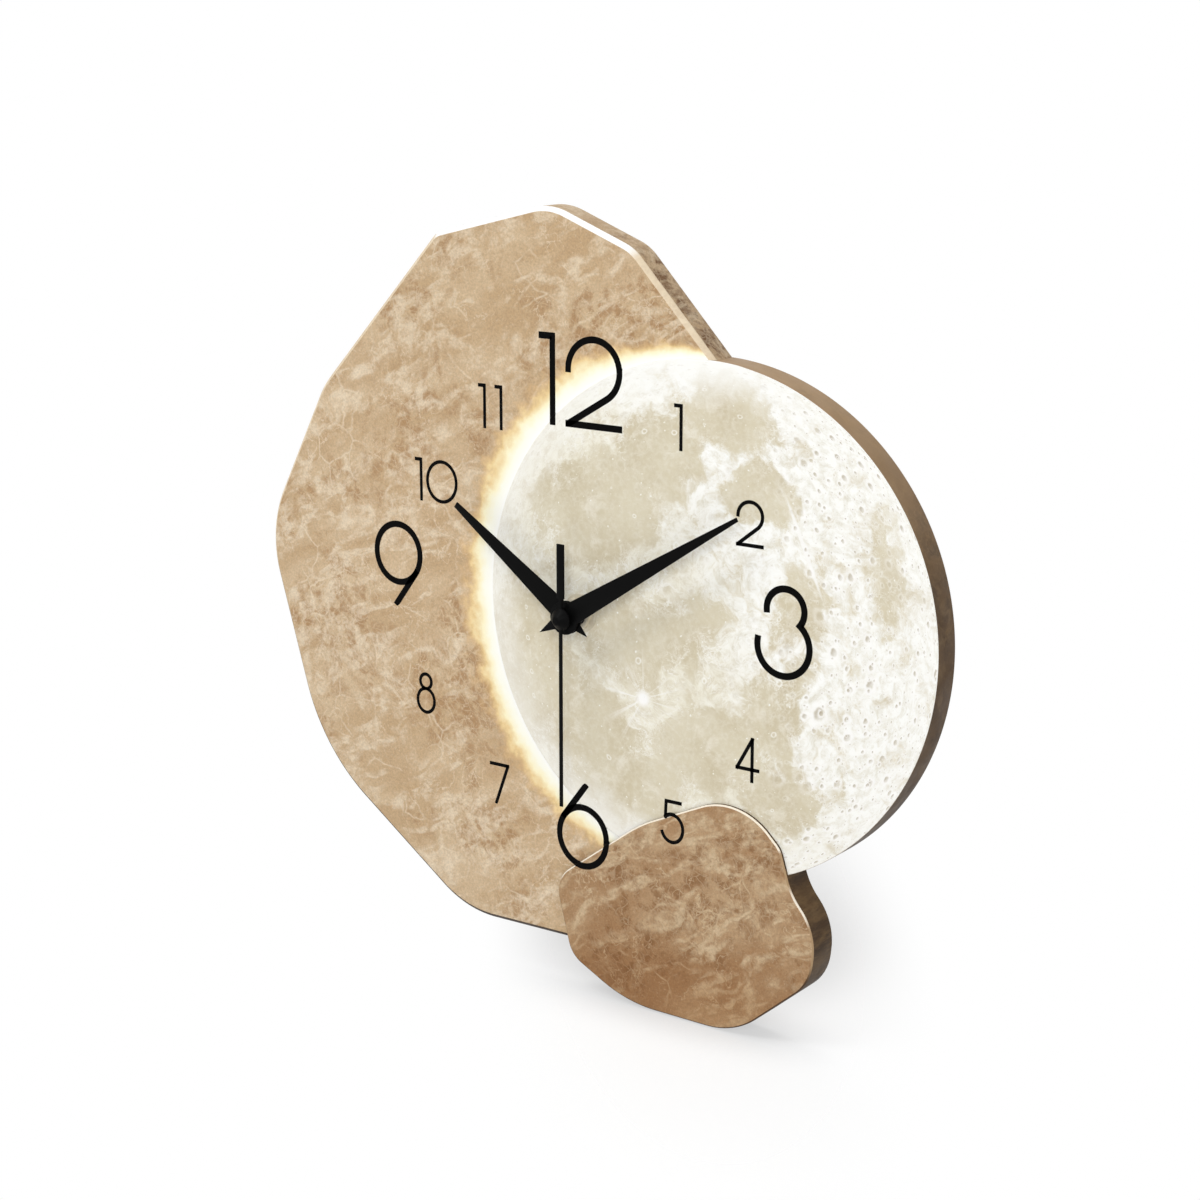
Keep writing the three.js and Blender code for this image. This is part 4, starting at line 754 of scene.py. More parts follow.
def digit_strokes(digit, width, height, stroke):
    """The middle lines of a digit's strokes in a box of middle lines, its low left corner at zero."""
    box_x = width - stroke
    box_z = height - stroke
    if digit == "0":
        return [arc(box_x / 2, box_z / 2, box_x / 2, box_z / 2, 0, 360)]
    if digit == "1":
        return [straight((0, box_z), (box_x, box_z), (box_x, 0))]
    if digit == "2":
        radius = box_x / 2
        middle = box_z - radius
        bend = touching_angle(radius, middle, radius, radius, 0, 0)
        bowl = arc(radius, middle, radius, radius, 180, bend)
        return [bowl + straight(bowl[-1], (0, 0))[1:], straight((0, 0), (box_x, 0))]
    if digit == "3":
        low = box_x / 2
        high = box_x * 0.36
        high_x = box_x * 0.53
        high_z = box_z - high
        rise = Vector((high_x - low, high_z - low))
        along = (rise.length_squared + low ** 2 - high ** 2) / (2 * rise.length)
        across = math.sqrt(low ** 2 - along ** 2)
        lift = rise.normalized()
        notch = Vector((low, low)) + lift * along + Vector((lift.y, -lift.x)) * across
        low_end = math.degrees(math.atan2(notch.y - low, notch.x - low))
        high_start = math.degrees(math.atan2(notch.y - high_z, notch.x - high_x))
        low_bowl = arc(low, low, low, low, 172 - 360, low_end)
        return [low_bowl + arc(high_x, high_z, high, high, high_start, 184)[1:]]
    if digit == "4":
        bar = box_z * 0.27
        stem = box_x * 0.72
        top = (stem, box_z)
        return [straight((stem, 0), top), straight(top, (0, bar)), straight((0, bar), (box_x, bar))]
    if digit == "5":
        radius = box_x * 0.5
        bowl_z = box_z * 0.345
        bowl = arc(radius, bowl_z, radius, bowl_z, 128, -158)
        return [straight((box_x * 0.88, box_z), (box_x * 0.22, box_z), tuple(bowl[0])), bowl]
    if digit == "7":
        return [straight((0, box_z), (box_x, box_z)), straight((box_x, box_z), (box_x * 0.3, 0))]
    if digit == "8":
        low_z = box_z * 0.31
        high_z = box_z * 0.5 - low_z
        high_x = box_x * 0.33
        return [
            arc(box_x / 2, low_z, box_x / 2, low_z, 0, 360),
            arc(box_x / 2, box_z - high_z, high_x, high_z, 0, 360),
        ]
    radius_x = box_x / 2
    radius_z = box_z * 0.365
    tail_x = box_x * 0.45
    bowl_z = box_z - radius_z
    touch = touching_angle(radius_x, bowl_z, radius_x, radius_z, tail_x, 0)
    bowl = arc(radius_x, bowl_z, radius_x, radius_z, touch, touch + 360)
    nine = [bowl, straight(tuple(bowl[0]), (tail_x, 0))]
    if digit == "9":
        return nine
    return [[Vector((box_x - point.x, box_z - point.y)) for point in line] for line in nine]


pebble_line = rounded_outline(PEBBLE_CORNERS, COARSE_STEP)


def pebble_edge(x, z):
    """How far a place is inside the pebble's outline; less than zero outside."""
    place = Vector((x, z))
    nearest = math.inf
    inside = False
    for start, end in zip(pebble_line, pebble_line[1:] + pebble_line[:1]):
        run = end - start
        share = min(1, max(0, (place - start).dot(run) / run.length_squared)) if run.length_squared else 0
        nearest = min(nearest, (place - start - run * share).length)
        if (start.y > z) != (end.y > z) and x < start.x + (z - start.y) * run.x / run.y:
            inside = not inside
    return nearest if inside else -nearest


def in_sight(point, plane, front):
    """Where the line of sight through a point drawn on a plane meets a board's front."""
    lift = plane - front
    return point.x + lift * SIGHT_RIGHT, point.y + lift * SIGHT_UP


def on_boards(point, plane):
    """A point of a numeral drawn on a plane, put on the foremost board in sight, as x, depth and z."""
    x, z = in_sight(point, plane, PEBBLE_FRONT)
    if z < PEBBLE_TOP and x > PEBBLE_LEFT:
        edge = pebble_edge(x, z) + EDGE_LEAD
        if edge > 0:
            return x, PEBBLE_FRONT + max(0, PEBBLE_BEVEL - edge), z
    x, z = in_sight(point, plane, MOON_FRONT)
    if math.hypot(x - MOON_X, z - MOON_Z) < MOON_RADIUS + EDGE_LEAD:
        return x, MOON_FRONT, z
    return point.x, SLAB_FRONT, point.y


def ink_sides(line, stroke, closed):
    """Rows of points across a stroke along its middle line, square at its ends and mitred at its bends."""
    half = stroke / 2
    lanes = [1 - 2 * lane / (STROKE_LANES - 1) for lane in range(STROKE_LANES)]
    if not closed:
        line = line[:]
        line[0] = line[0] + (line[0] - line[1]).normalized() * half
        line[-1] = line[-1] + (line[-1] - line[-2]).normalized() * half
    sides = []
    for index, point in enumerate(line):
        before = line[index - 1] if closed or index else None
        after = line[(index + 1) % len(line)] if closed or index + 1 < len(line) else None
        arriving = (point - before).normalized() if before is not None else (after - point).normalized()
        leaving = (after - point).normalized() if after is not None else arriving
        along = (arriving + leaving).normalized()
        across = Vector((-along.y, along.x)) * half / max(MITRE_LIMIT, along.dot(leaving))
        sides.append([point + across * lane for lane in lanes])
    return sides


def face_outward(piece, join=0.0):
    """Turns a piece's faces outward, after joining the corners that lie within a distance."""
    work = bmesh.new()
    work.from_mesh(piece.data)
    if join:
        bmesh.ops.remove_doubles(work, verts=work.verts, dist=join)
        bmesh.ops.dissolve_degenerate(work, edges=work.edges, dist=join / 2)
    bmesh.ops.recalc_face_normals(work, faces=work.faces)
    work.to_mesh(piece.data)
    work.free()


def ink_strip(name, strips, plane):
    """A thin layer of ink over the boards, from the sides of its strokes; a strip also says if it closes."""
    corners = []
    faces = []
    row_size = 2 * STROKE_LANES
    ring = list(range(STROKE_LANES)) + list(range(row_size - 1, STROKE_LANES - 1, -1))
    for sides, closed in strips:
        first = len(corners)
        for row in sides:
            places = [on_boards(point, plane) for point in row]
            for lift in (-INK_PROUD, INK_SUNK):
                corners += [to_frame(x, depth + lift, z) for x, depth, z in places]
        count = len(sides)
        for index in range(count if closed else count - 1):
            here = first + index * row_size
            there = first + (index + 1) % count * row_size
            for start, end in zip(ring, ring[1:] + ring[:1]):
                faces.append((here + start, here + end, there + end, there + start))
        if not closed:
            faces.append([first + place for place in reversed(ring)])
            last = first + (count - 1) * row_size
            faces.append([last + place for place in ring])
    piece = new_piece(name, corners, faces)
    face_outward(piece, INK_JOIN)
    return piece


def kept_inside(point, width, height, stroke):
    """A point of a digit, kept inside the digit's own width and height."""
    x = min(max(point.x, -stroke / 2), width - stroke / 2)
    z = min(max(point.y, -stroke / 2), height - stroke / 2)
    return Vector((x, z))


def numeral(text, x, z, plane, big):
    """A numeral with the middle of its ink at a place on a plane."""
    widths = BIG_WIDTHS if big else SMALL_WIDTHS
    height = BIG_HEIGHT if big else SMALL_HEIGHT
    stroke = BIG_STROKE if big else SMALL_STROKE
    gap = DIGIT_GAPS.get(text, 0)
    total = sum(widths[digit] for digit in text) + gap * (len(text) - 1)
    left = x - total / 2
    low = z - height / 2
    strips = []
    for digit in text:
        width = widths[digit]
        corner = Vector((left + stroke / 2, low + stroke / 2))
        for line in digit_strokes(digit, width, height, stroke):
            closed = (line[0] - line[-1]).length < CLOSED_GAP
            sides = ink_sides(line[:-1] if closed else line, stroke, closed)
            placed = [[corner + kept_inside(point, width, height, stroke) for point in row] for row in sides]
            strips.append((placed, closed))
        left += width + gap
    return ink_strip("numeral_" + text, strips, plane)


NUMERALS = [
    ("12", -0.5, 88.3), ("1", 44.0, 75.8), ("2", 75.3, 43.9), ("3", 90.1, 5.8), ("4", 75.7, -44.5),
    ("5", 42.5, -75.3), ("6", 0.4, -85.5), ("7", -40.4, -76.1), ("8", -77.6, -44.9), ("9", -90.7, 6.9),
    ("10", -70.5, 42.8), ("11", -43.1, 75.0),
]
QUARTERS = ("12", "3", "6", "9")
ON_MOON = ("1", "2", "3", "4", "5")
INK_GLOSS = 0.03
ink_black, tree, shader = new_material("ink_black")
where = millimetres(tree)
ink_cover = fade(tree, noise(tree, where, 0.5, 4.0, 0.7), 0.3, 0.72)
tree.links.new(mixed(tree, ink_cover, paint(5, 5, 5), paint(12, 11, 11)), shader["Base Color"])
tree.links.new(fade(tree, noise(tree, where, 3, 4.0), 0.3, 0.7, 0.46, 0.62), shader["Roughness"])
shader["Specular IOR Level"].default_value = INK_GLOSS
for text, x, z in NUMERALS:
    plane = MOON_FRONT if text in ON_MOON else SLAB_FRONT
    ink = numeral(text, x, z, plane, text in QUARTERS)
    ink.data.materials.append(ink_black)
    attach(ink, "clock_body")

# Backing plate: 3 mm hardboard behind the three boards, sawn to their outline and set in from their edges.
# It is screwed on, a window takes the movement, and its back shows the mesh it was pressed on.
JOIN_DISTANCE = 0.01 * MM
SOFT_FOLD = math.radians(32)
PLANE_ANGLE = math.radians(1)
EDGE_ANGLE = math.radians(38)


def mesh_group(name):
    """A group of mesh nodes; gives the group and its inlet."""
    group = bpy.data.node_groups.new(name, "GeometryNodeTree")
    for way in ("INPUT", "OUTPUT"):
        group.interface.new_socket("Geometry", in_out=way, socket_type="NodeSocketGeometry")
    return group, add_node(group, "NodeGroupInput").outputs[0]


join_corners, mesh = mesh_group("join_corners")
tree = join_corners
mesh = add_node(tree, "GeometryNodeRemoveAttribute", {"Geometry": mesh, "Name": "custom_normal"}).outputs[0]
mesh = add_node(tree, "GeometryNodeMergeByDistance", {"Geometry": mesh, "Distance": JOIN_DISTANCE}).outputs[0]
add_node(tree, "NodeGroupOutput", {0: mesh})

round_shading, mesh = mesh_group("round_shading")
tree = round_shading
fold = add_node(tree, "GeometryNodeInputMeshEdgeAngle").outputs["Unsigned Angle"]
soft = add_node(tree, "FunctionNodeCompare", {"A": fold, "B": SOFT_FOLD}, operation="LESS_EQUAL").outputs[0]
mesh = add_node(tree, "GeometryNodeSetShadeSmooth", {"Geometry": mesh}, domain="FACE").outputs[0]
mesh = add_node(
    tree, "GeometryNodeSetShadeSmooth", {"Geometry": mesh, "Shade Smooth": soft}, domain="EDGE",
).outputs[0]
add_node(tree, "NodeGroupOutput", {0: mesh})


def dress(name, material, edge=0.0):
    """Gives a CAD node its material, edges rounded over a width in millimetres and smooth round sides."""
    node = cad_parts[name]
    node.data.materials.clear()
    node.data.materials.append(material)
    node.modifiers.new("join", "NODES").node_group = join_corners
    if edge:
        planes = node.modifiers.new("planes", "DECIMATE")
        planes.decimate_type = "DISSOLVE"
        planes.angle_limit = PLANE_ANGLE
        bevel = node.modifiers.new("edges", "BEVEL")
        bevel.width = edge * MM
        bevel.segments = 2
        bevel.limit_method = "ANGLE"
        bevel.angle_limit = EDGE_ANGLE
    node.modifiers.new("shading", "NODES").node_group = round_shading


MESH_FINENESS = 5.2
hardboard, tree, shader = new_material("hardboard")
where = millimetres(tree)
plate_axes = axes(tree, where)
plate_fibres = use_group(
    tree, fibreboard, {"Place": where, "Fibre": paint(150, 112, 76), "Shadow": paint(112, 80, 52)},
)
mesh_across = calc(tree, "SINE", product(tree, plate_axes[0], MESH_FINENESS))
mesh_up = calc(tree, "SINE", product(tree, plate_axes[2], MESH_FINENESS))
mesh_marks = product(tree, mesh_across, mesh_up)
mesh_height = calc(tree, "ADD", product(tree, mesh_marks, 0.25), plate_fibres["Height"])
mesh_share = fade(tree, mesh_marks, -0.6, 0.6, 0.0, 0.22)
plate_colour = mixed(tree, mesh_share, plate_fibres["Colour"], paint(92, 64, 40))
plate_roughness = fade(tree, plate_fibres["Height"], 0.3, 0.7, 0.72, 0.88)
finish(tree, shader, plate_colour, plate_roughness, mesh_height, depth=0.12, strength=0.5)
dress("backing_plate", hardboard, edge=0.25)

# Plate screws: seven zinc-plated steel screws with pan heads, pressed with a cross recess.
# They go through the backing plate into the boards, and no two stand with their crosses alike.
PLATE_BACK = -5.6
PLATE_SCREWS = [(-15, 121), (-72, 96), (-127, 12), (-52, -101), (28, -102), (96, -50), (100, 56)]
SCREW_RADIUS = 3.1
SCREW_HEIGHT = 1.7
SCREW_POINTS = 36
SIDE_SHARE = 0.45
DOME_TURN = math.radians(80)
DOME_STEPS = 6
RECESS_REACH = 1.75
RECESS_HALF = 0.42
RECESS_SHARE = 0.7
FIRST_TURN = 17
NEXT_TURN = 31
SCREW_FOLD = 30
WEAR_RADIUS = 0.25 * MM
WEAR_SAMPLES = 4

# Worn edges: how much of a rounded corner shows at a place, broken up by scratches.
edge_wear, wear_in, wear_out = node_group("edge_wear", [("Place", "Vector")], [("Wear", "Float")])
tree = edge_wear
rounded_facing = add_node(tree, "ShaderNodeBevel", {"Radius": WEAR_RADIUS}, samples=WEAR_SAMPLES).outputs[0]
plain_facing = add_node(tree, "ShaderNodeNewGeometry").outputs["Normal"]
corner_wear = fade(tree, likeness(tree, rounded_facing, plain_facing), 0.75, 0.97, 1.0, 0.0)
rubbing = fade(tree, noise(tree, wear_in["Place"], 0.7, 5.0, 0.7), 0.42, 0.62)
tree.links.new(product(tree, corner_wear, rubbing), wear_out["Wear"])

# Metal: drawn or rolled along one way, with a cloudy tarnish.
metal_face, metal_in, metal_out = node_group(
    "metal_face", [("Place", "Vector"), ("Bright", "Color"), ("Dull", "Color")],
    [("Colour", "Color"), ("Roughness", "Float"), ("Height", "Float")],
)
tree = metal_face
draw_lines = noise(tree, moved(tree, "MULTIPLY", metal_in["Place"], (0.08, 1, 1)), 0.22, 4.0, 0.65)
tarnish = fade(tree, noise(tree, metal_in["Place"], 3.5, 5.0, 0.65), 0.38, 0.68)
metal_gloss = calc(tree, "ADD", product(tree, draw_lines, 0.22), 0.2)
metal_gloss = calc(tree, "ADD", metal_gloss, product(tree, tarnish, 0.12))
tree.links.new(mixed(tree, tarnish, metal_in["Bright"], metal_in["Dull"]), metal_out["Colour"])
tree.links.new(metal_gloss, metal_out["Roughness"])
tree.links.new(draw_lines, metal_out["Height"])


def metal(name, bright, dull):
    """A metal in two tones, with drawing lines and worn edges."""
    material, tree, shader = new_material(name)
    where = millimetres(tree)
    face = use_group(tree, metal_face, {"Place": where, "Bright": bright, "Dull": dull})
    wear = use_group(tree, edge_wear, {"Place": where})["Wear"]
    colour = mixed(tree, wear, face["Colour"], bright)
    finish(tree, shader, colour, face["Roughness"], face["Height"], depth=0.02, strength=0.25)
    shader["Metallic"].default_value = 1.0
    return material


def turned(name, x, z, profile, count):
    """A turned piece about an axis square to the boards, from the radii and depths of its closed profile."""
    corners = []
    for radius, depth in profile:
        corners += [to_frame(point.x, depth, point.y) for point in round_outline(x, z, radius, count)]
    first = list(range(count))
    last = list(range(len(corners) - count, len(corners)))
    piece = new_piece(name, corners, [first, last, *ring_faces(len(profile), count)])
    face_outward(piece)
    return piece


def screw(name, x, z, seat, radius, height, turn):
    """A pan-head screw on a seat, with a cross recess turned by an angle in degrees."""
    dome = [(radius, seat), (radius, seat + height * SIDE_SHARE)]
    for step in range(1, DOME_STEPS + 1):
        angle = DOME_TURN * step / DOME_STEPS
        rise = SIDE_SHARE + (1 - SIDE_SHARE) * math.sin(angle)
        dome.append((radius * math.cos(angle), seat + height * rise))
    head = turned(name, x, z, dome, SCREW_POINTS)
    share = radius / SCREW_RADIUS
    arm = ((RECESS_HALF, -RECESS_HALF), (RECESS_REACH, -RECESS_HALF), (RECESS_REACH, RECESS_HALF))
    cross = []
    for quarter in range(4):
        spin = Matrix.Rotation(math.radians(turn + 90 * quarter), 2)
        cross += [Vector((x, z)) + spin @ (Vector(corner) * share) for corner in arm]
    top = seat + height
    recess = [(0, top + CUT_CLEARANCE), (0, top - height * RECESS_SHARE)]
    cut_out(head, lofted("recess", cross, recess))
    shade(head, SCREW_FOLD)
    head.data.materials.append(zinc_steel)
    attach(head, "clock_body")


zinc_steel = metal("zinc_steel", paint(206, 208, 210), paint(156, 159, 163))
for index, (x, z) in enumerate(PLATE_SCREWS):
    turn = FIRST_TURN + NEXT_TURN * index
    screw("plate_screw_" + str(index + 1), x, z, PLATE_BACK, SCREW_RADIUS, SCREW_HEIGHT, turn)

# Wall pads: four turned rubber feet that keep the clock parallel to the wall.
# They are stuck to the backing plate, two at the left, one at the right and one at the bottom.
pad_rubber, tree, shader = new_material("pad_rubber")
where = millimetres(tree)
bloom = fade(tree, noise(tree, where, 5, 5.0, 0.6), 0.4, 0.7)
pores = noise(tree, where, 0.4, 3.0, 0.6)
rubber_colour = mixed(tree, bloom, paint(30, 29, 28), paint(50, 48, 46))
rubber_roughness = fade(tree, pores, 0.3, 0.7, 0.74, 0.9)
finish(tree, shader, rubber_colour, rubber_roughness, pores, depth=0.06, strength=0.5)
for place in ("upper_left", "lower_left", "right", "bottom"):
    dress("wall_pad_" + place, pad_rubber, edge=0.5)

# Hanger: a zinc-plated steel strip bent at both ends, with saw teeth below so that the clock can be levelled.
# Two small screws of the same make hold its feet to the plate.
HANGER_SCREWS = [(-18, 104), (15, 104)]
HANGER_FOOT_BACK = -4.8
HANGER_SCREW_RADIUS = 2.3
HANGER_SCREW_HEIGHT = 1.2
HANGER_FIRST_TURN = 40
dress("hanger", zinc_steel, edge=0.12)
for index, (x, z) in enumerate(HANGER_SCREWS):
    turn = HANGER_FIRST_TURN + NEXT_TURN * index
    name = "hanger_screw_" + str(index + 1)
    screw(name, x, z, HANGER_FOOT_BACK, HANGER_SCREW_RADIUS, HANGER_SCREW_HEIGHT, turn)

# Movement case, cover and setting knob: black moulded plastic with a spark-eroded texture.
# The stem is part of the case, and the cover snaps on behind, with openings for the cell and the knob.
moulded, mould_in, mould_out = node_group(
    "moulded", [("Place", "Vector"), ("Dark", "Color"), ("Light", "Color")],
    [("Colour", "Color"), ("Roughness", "Float"), ("Height", "Float")],
)
tree = moulded
mould_grain = noise(tree, mould_in["Place"], 0.22, 2.0, 0.5)
mould_cloud = fade(tree, noise(tree, mould_in["Place"], 9, 4.0), 0.35, 0.65)
tree.links.new(mixed(tree, mould_cloud, mould_in["Dark"], mould_in["Light"]), mould_out["Colour"])
tree.links.new(fade(tree, mould_grain, 0.3, 0.7, 0.42, 0.58), mould_out["Roughness"])
tree.links.new(mould_grain, mould_out["Height"])


def plastic(name, dark, light):
    """A moulded plastic in two close tones."""
    material, tree, shader = new_material(name)
    face = use_group(tree, moulded, {"Place": millimetres(tree), "Dark": dark, "Light": light})
    finish(tree, shader, face["Colour"], face["Roughness"], face["Height"], depth=0.03, strength=0.35)
    return material


case_plastic = plastic("case_plastic", paint(24, 24, 25), paint(34, 34, 35))
dress("movement_case", case_plastic, edge=0.2)
dress("movement_cover", case_plastic, edge=0.2)
dress("set_knob", case_plastic, edge=0.12)

# Battery and contacts: a 1.5 V cell in a plain printed sleeve, its two ends of bare steel.
# It lies between two strips of zinc-plated steel that spring against its ends and reach up to the circuit.
END_WIDTH = 1.1
NUB_LENGTH = 1.5
BAND_WIDTH = 15.0
PRINT_EDGE = 0.1
cell_low, cell_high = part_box("battery")
battery_label, tree, shader = new_material("battery_label")
where = millimetres(tree)
cell_x = axes(tree, where)[0]
from_low = calc(tree, "SUBTRACT", cell_x, cell_low.x / MM)
from_high = calc(tree, "SUBTRACT", cell_high.x / MM, cell_x)
from_end = calc(tree, "MINIMUM", from_low, calc(tree, "SUBTRACT", from_high, NUB_LENGTH))
end_metal = fade(tree, from_end, END_WIDTH - PRINT_EDGE / 2, END_WIDTH, 1.0, 0.0)
sleeve_band = fade(tree, from_high, BAND_WIDTH, BAND_WIDTH + PRINT_EDGE, 1.0, 0.0)
sleeve = mixed(tree, sleeve_band, paint(92, 108, 122), paint(214, 217, 218))
scuffs = fade(tree, noise(tree, where, 0.9, 6.0, 0.72), 0.58, 0.74, 0.0, 0.35)
sleeve = mixed(tree, scuffs, sleeve, paint(150, 158, 164))
cell_metal = use_group(
    tree, metal_face, {"Place": where, "Bright": paint(208, 209, 210), "Dull": paint(170, 171, 173)},
)
cell_colour = mixed(tree, end_metal, sleeve, cell_metal["Colour"])
finish(tree, shader, cell_colour, cell_metal["Roughness"], cell_metal["Height"], depth=0.02, strength=0.3)
tree.links.new(end_metal, shader["Metallic"])
dress("battery", battery_label, edge=0.3)
for name in ("battery_contact_plus", "battery_contact_minus"):
    dress(name, zinc_steel, edge=0.06)

# Drive: green circuit board with its quartz crystal in a metal can, a coil of enamelled copper on a bobbin,
# and a stator of soft iron strip round the rotor's magnet.
WIRE_FINENESS = 34.0
circuit_green, tree, shader = new_material("circuit_green")
where = millimetres(tree)
track_cells = add_node(
    tree, "ShaderNodeTexVoronoi", {"Vector": where, "Scale": 0.45, "Randomness": 0.6}, distance="MANHATTAN",
)
tracks = fade(tree, track_cells.outputs["Distance"], 0.62, 0.7)
mask_colour = mixed(tree, tracks, paint(26, 84, 52), paint(52, 120, 74))
mask_roughness = fade(tree, noise(tree, where, 0.3, 3.0), 0.3, 0.7, 0.3, 0.42)
finish(tree, shader, mask_colour, mask_roughness, tracks, depth=0.04, strength=0.5)
dress("circuit_board", circuit_green)
dress("quartz_crystal", zinc_steel)
dress("stator", metal("soft_iron", paint(170, 171, 172), paint(118, 119, 122)))
coil_wire, tree, shader = new_material("coil_wire")
wire_turns = calc(tree, "SINE", product(tree, axes(tree, millimetres(tree))[0], WIRE_FINENESS))
# Painted shade in the grooves between the wire's turns, painted highlight on their crowns.
enamel_with_turn_shading = mixed(tree, fade(tree, wire_turns, -1.0, 0.6), paint(96, 44, 20), paint(196, 110, 58))
enamel_roughness = fade(tree, wire_turns, -1.0, 1.0, 0.42, 0.26)
finish(tree, shader, enamel_with_turn_shading, enamel_roughness, wire_turns, depth=0.05, strength=0.6)
shader["Metallic"].default_value = 0.7
dress("coil", coil_wire)

# Wheel train: moulded wheels of white acetal on their arbors, and the rotor with its dark magnet.
# A moulded bridge holds their rear pivots, and the front pivots run in the case.
WHEELS = (
    "step_wheel", "seconds_wheel", "third_wheel", "centre_wheel",
    "minute_arbor", "minute_wheel", "hour_wheel",
)
wheel_plastic = plastic("wheel_plastic", paint(216, 213, 204), paint(232, 229, 221))
dress("train_bridge", plastic("bridge_plastic", paint(58, 60, 63), paint(72, 74, 77)))
for name in WHEELS:
    dress(name, wheel_plastic)
dress("rotor", plastic("magnet", paint(52, 50, 50), paint(70, 67, 66)))

# Washers and nut: a rubber washer behind the board, a brass washer and a steel nut in front.
# The two in front are lacquered to match the moon print, with the metal showing at worn corners.
dress("rubber_washer", pad_rubber)
face_lacquer, tree, shader = new_material("face_lacquer")
where = millimetres(tree)
lacquer_tone = fade(tree, noise(tree, where, 2.5, 5.0, 0.6), 0.35, 0.65)
lacquer = mixed(tree, lacquer_tone, paint(216, 208, 188), paint(204, 194, 171))
worn = use_group(tree, edge_wear, {"Place": where})["Wear"]
lacquer = mixed(tree, worn, lacquer, paint(176, 150, 98))
lacquer_roughness = fade(tree, lacquer_tone, 0.0, 1.0, 0.45, 0.58)
finish(tree, shader, lacquer, lacquer_roughness, lacquer_tone, depth=0.02, strength=0.3)
dress("brass_washer", face_lacquer, edge=0.1)
dress("stem_nut", face_lacquer, edge=0.15)

# Hands: 0.6 mm aluminium blades lacquered satin black, pressed on the arbors one in front of the other.
# The second hand has a needle, a counterweight and a turned cap.
HAND_GLOSS = 0.05
hand_black, tree, shader = new_material("hand_black")
where = millimetres(tree)
lacquer_peel = noise(tree, where, 0.9, 4.0, 0.55)
dust = fade(tree, noise(tree, where, 0.35, 4.0, 0.7), 0.66, 0.76, 0.0, 0.12)
hand_colour = mixed(tree, dust, paint(8, 8, 8), paint(48, 47, 45))
hand_roughness = fade(tree, lacquer_peel, 0.3, 0.7, 0.36, 0.48)
finish(tree, shader, hand_colour, hand_roughness, lacquer_peel, depth=0.02, strength=0.2)
shader["Specular IOR Level"].default_value = HAND_GLOSS
for name in ("hour_hand", "minute_hand", "second_hand"):
    dress(name, hand_black, edge=0.12)

# Studio floor: white paper that takes the clock's shadow and shades into the white all round it.
# Painted shadow from ambient occlusion dims its glow close to the clock and behind it, and it is clear
# outside an oval that lies along the line of sight.
FLOOR_HALF = 1.6
FLOOR_CELLS = 8
FLOOR_GAP = 0.0004
CONTACT_REACH = 0.03
ROOM_REACH = 0.4
SHADE_SAMPLES = 16
SHADOW_MIDDLE = (-0.014, 0.088)
SHADOW_HALF = (0.096, 0.36)
GLOWING_SHARE = 0.7
WHITE = (1, 1, 1, 1)


def seen_rays(tree):
    """1 for rays that end in the camera, straight or by way of a shiny or clear surface, else 0."""
    rays = add_node(tree, "ShaderNodeLightPath").outputs
    by_way = calc(tree, "MAXIMUM", rays["Is Glossy Ray"], rays["Is Transmission Ray"])
    return calc(tree, "MAXIMUM", rays["Is Camera Ray"], by_way)


def open_share(tree, reach):
    """How open the surroundings of a place are within a reach."""
    inputs = {"Distance": reach}
    return add_node(tree, "ShaderNodeAmbientOcclusion", inputs, samples=SHADE_SAMPLES).outputs["AO"]


floor = new_piece("floor", [], [])
floor_grid = bmesh.new()
bmesh.ops.create_grid(floor_grid, x_segments=FLOOR_CELLS, y_segments=FLOOR_CELLS, size=FLOOR_HALF)
floor_grid.to_mesh(floor.data)
floor_grid.free()
floor.location.z = cad_box[0].z - FLOOR_GAP
floor_paper, tree, shader = new_material("floor_paper")
where = add_node(tree, "ShaderNodeTexCoord").outputs["Object"]
paper_tone = mixed(tree, noise(tree, where, 0.3, 4.0), paint(250, 250, 250), paint(253, 253, 253))
tree.links.new(paper_tone, shader["Base Color"])
shader["Roughness"].default_value = 0.9
shader["Specular IOR Level"].default_value = 0.0
seen = seen_rays(tree)
round_clock = in_oval(tree, where, SHADOW_MIDDLE, SHADOW_HALF, AZIMUTH)
behind = fade(tree, axes(tree, round_clock)[1], -0.36, -0.1)
# Painted shadow: the glow is dimmed where ambient occlusion finds the clock near, most of all behind it and
# at its foot.
painted_room_shadow = product(tree, fade(tree, open_share(tree, ROOM_REACH), 0.65, 0.97, 0.36, 0.0), behind)
painted_contact_shadow = fade(tree, open_share(tree, CONTACT_REACH), 0.45, 1.0, 0.8, 1.065)
shadowed_paper_glow = product(tree, painted_contact_shadow, calc(tree, "SUBTRACT", 1.0, painted_room_shadow))
glowing = add_node(tree, "ShaderNodeEmission", {"Color": WHITE, "Strength": shadowed_paper_glow}).outputs[0]
lit = tree.nodes["Principled BSDF"].outputs[0]
glowing_share = product(tree, seen, GLOWING_SHARE)
lit = add_node(tree, "ShaderNodeMixShader", {0: glowing_share, 1: lit, 2: glowing}).outputs[0]
clear_share = product(tree, fade(tree, length_of(tree, round_clock), 0.4, 1.0), seen)
clear = add_node(tree, "ShaderNodeBsdfTransparent").outputs[0]
paper = add_node(tree, "ShaderNodeMixShader", {0: clear_share, 1: lit, 2: clear}).outputs[0]
tree.links.new(paper, tree.nodes["Material Output"].inputs["Surface"])
floor.data.materials.append(floor_paper)

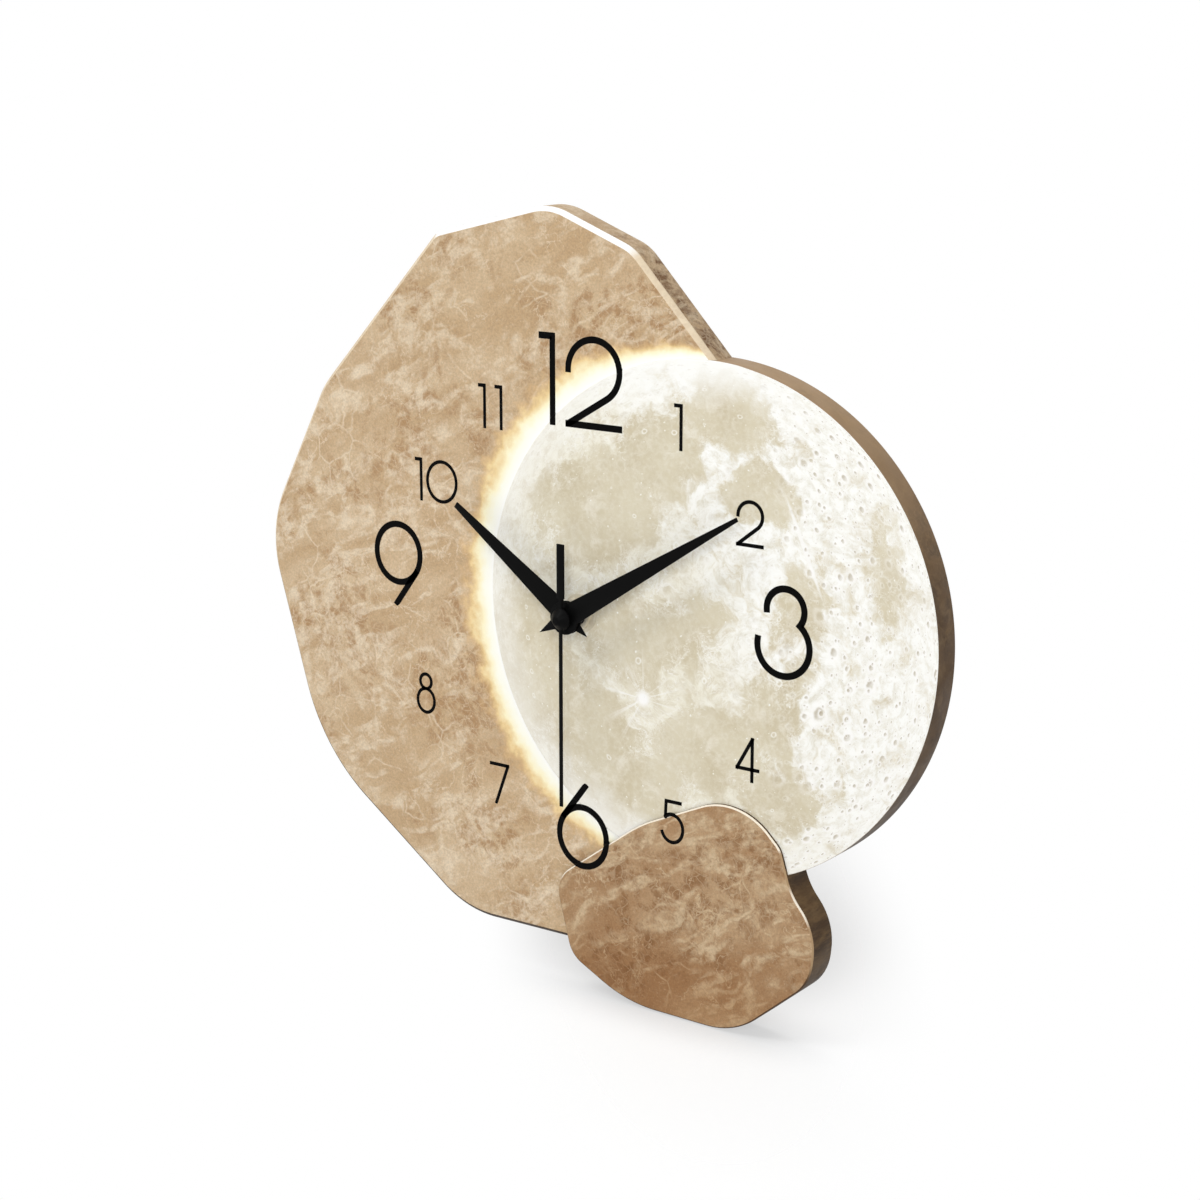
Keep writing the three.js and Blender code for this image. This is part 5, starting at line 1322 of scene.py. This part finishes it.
# Studio light: a key lamp beside the camera, soft lamps at the left, above and behind, and white all round.
# The white all round is brighter to the camera than the light it gives, so that the background is pure white.
ROOM_LIGHT = 0.34
LAMPS = [
    ("key_lamp", (0.75, -1.3, 0.55), 0.5, 8.2), ("left_lamp", (-0.9, -0.9, 0.9), 0.5, 2.4),
    ("top_lamp", (-0.25, -0.75, 1.25), 0.5, 7), ("rear_lamp", (-0.3, 0.45, 1.1), 0.4, 3),
]
world = bpy.data.worlds.new("studio")
world.use_nodes = True
bpy.context.scene.world = world
tree = world.node_tree
room = tree.nodes["Background"].inputs
room["Color"].default_value = WHITE
tree.links.new(fade(tree, seen_rays(tree), 0.0, 1.0, ROOM_LIGHT, 1.0), room["Strength"])
clock_middle = (cad_box[0] + cad_box[1]) / 2
for name, place, size, power in LAMPS:
    light = bpy.data.lights.new(name, "AREA")
    light.shape = "SQUARE"
    light.size = size
    light.energy = power
    lamp = bpy.data.objects.new(name, light)
    lamp.location = place
    lamp.rotation_mode = "QUATERNION"
    lamp.rotation_quaternion = (clock_middle - Vector(place)).to_track_quat("-Z", "Y")
    bpy.context.scene.collection.objects.link(lamp)

# Camera: it stands where the photograph was taken, to the right of the clock and a little above it.
# It looks along the photograph's line of sight, set off from the moon's middle as the picture is framed.
CAMERA_DISTANCE = 0.896
LENS = 73.2
SENSOR = 36.0
AIM_RIGHT = -0.04168
AIM_UP = 0.009836
level = math.cos(ELEVATION)
outward = Vector((math.sin(AZIMUTH) * level, -math.cos(AZIMUTH) * level, math.sin(ELEVATION)))
rightward = Vector((math.cos(AZIMUTH), math.sin(AZIMUTH), 0))
overhead = outward.cross(rightward)
from_clock = CAMERA_DISTANCE * (outward + AIM_RIGHT * rightward + AIM_UP * overhead)
camera_data = bpy.data.cameras.new("camera")
camera_data.lens = LENS
camera_data.sensor_width = SENSOR
camera = bpy.data.objects.new("camera", camera_data)
camera.matrix_world = Matrix((rightward, overhead, outward)).transposed().to_4x4()
camera.location = to_frame(MOON_X, MOON_FRONT, MOON_Z) + from_clock
bpy.context.scene.collection.objects.link(camera)
bpy.context.scene.camera = camera
bpy.context.scene.view_settings.view_transform = "Standard"
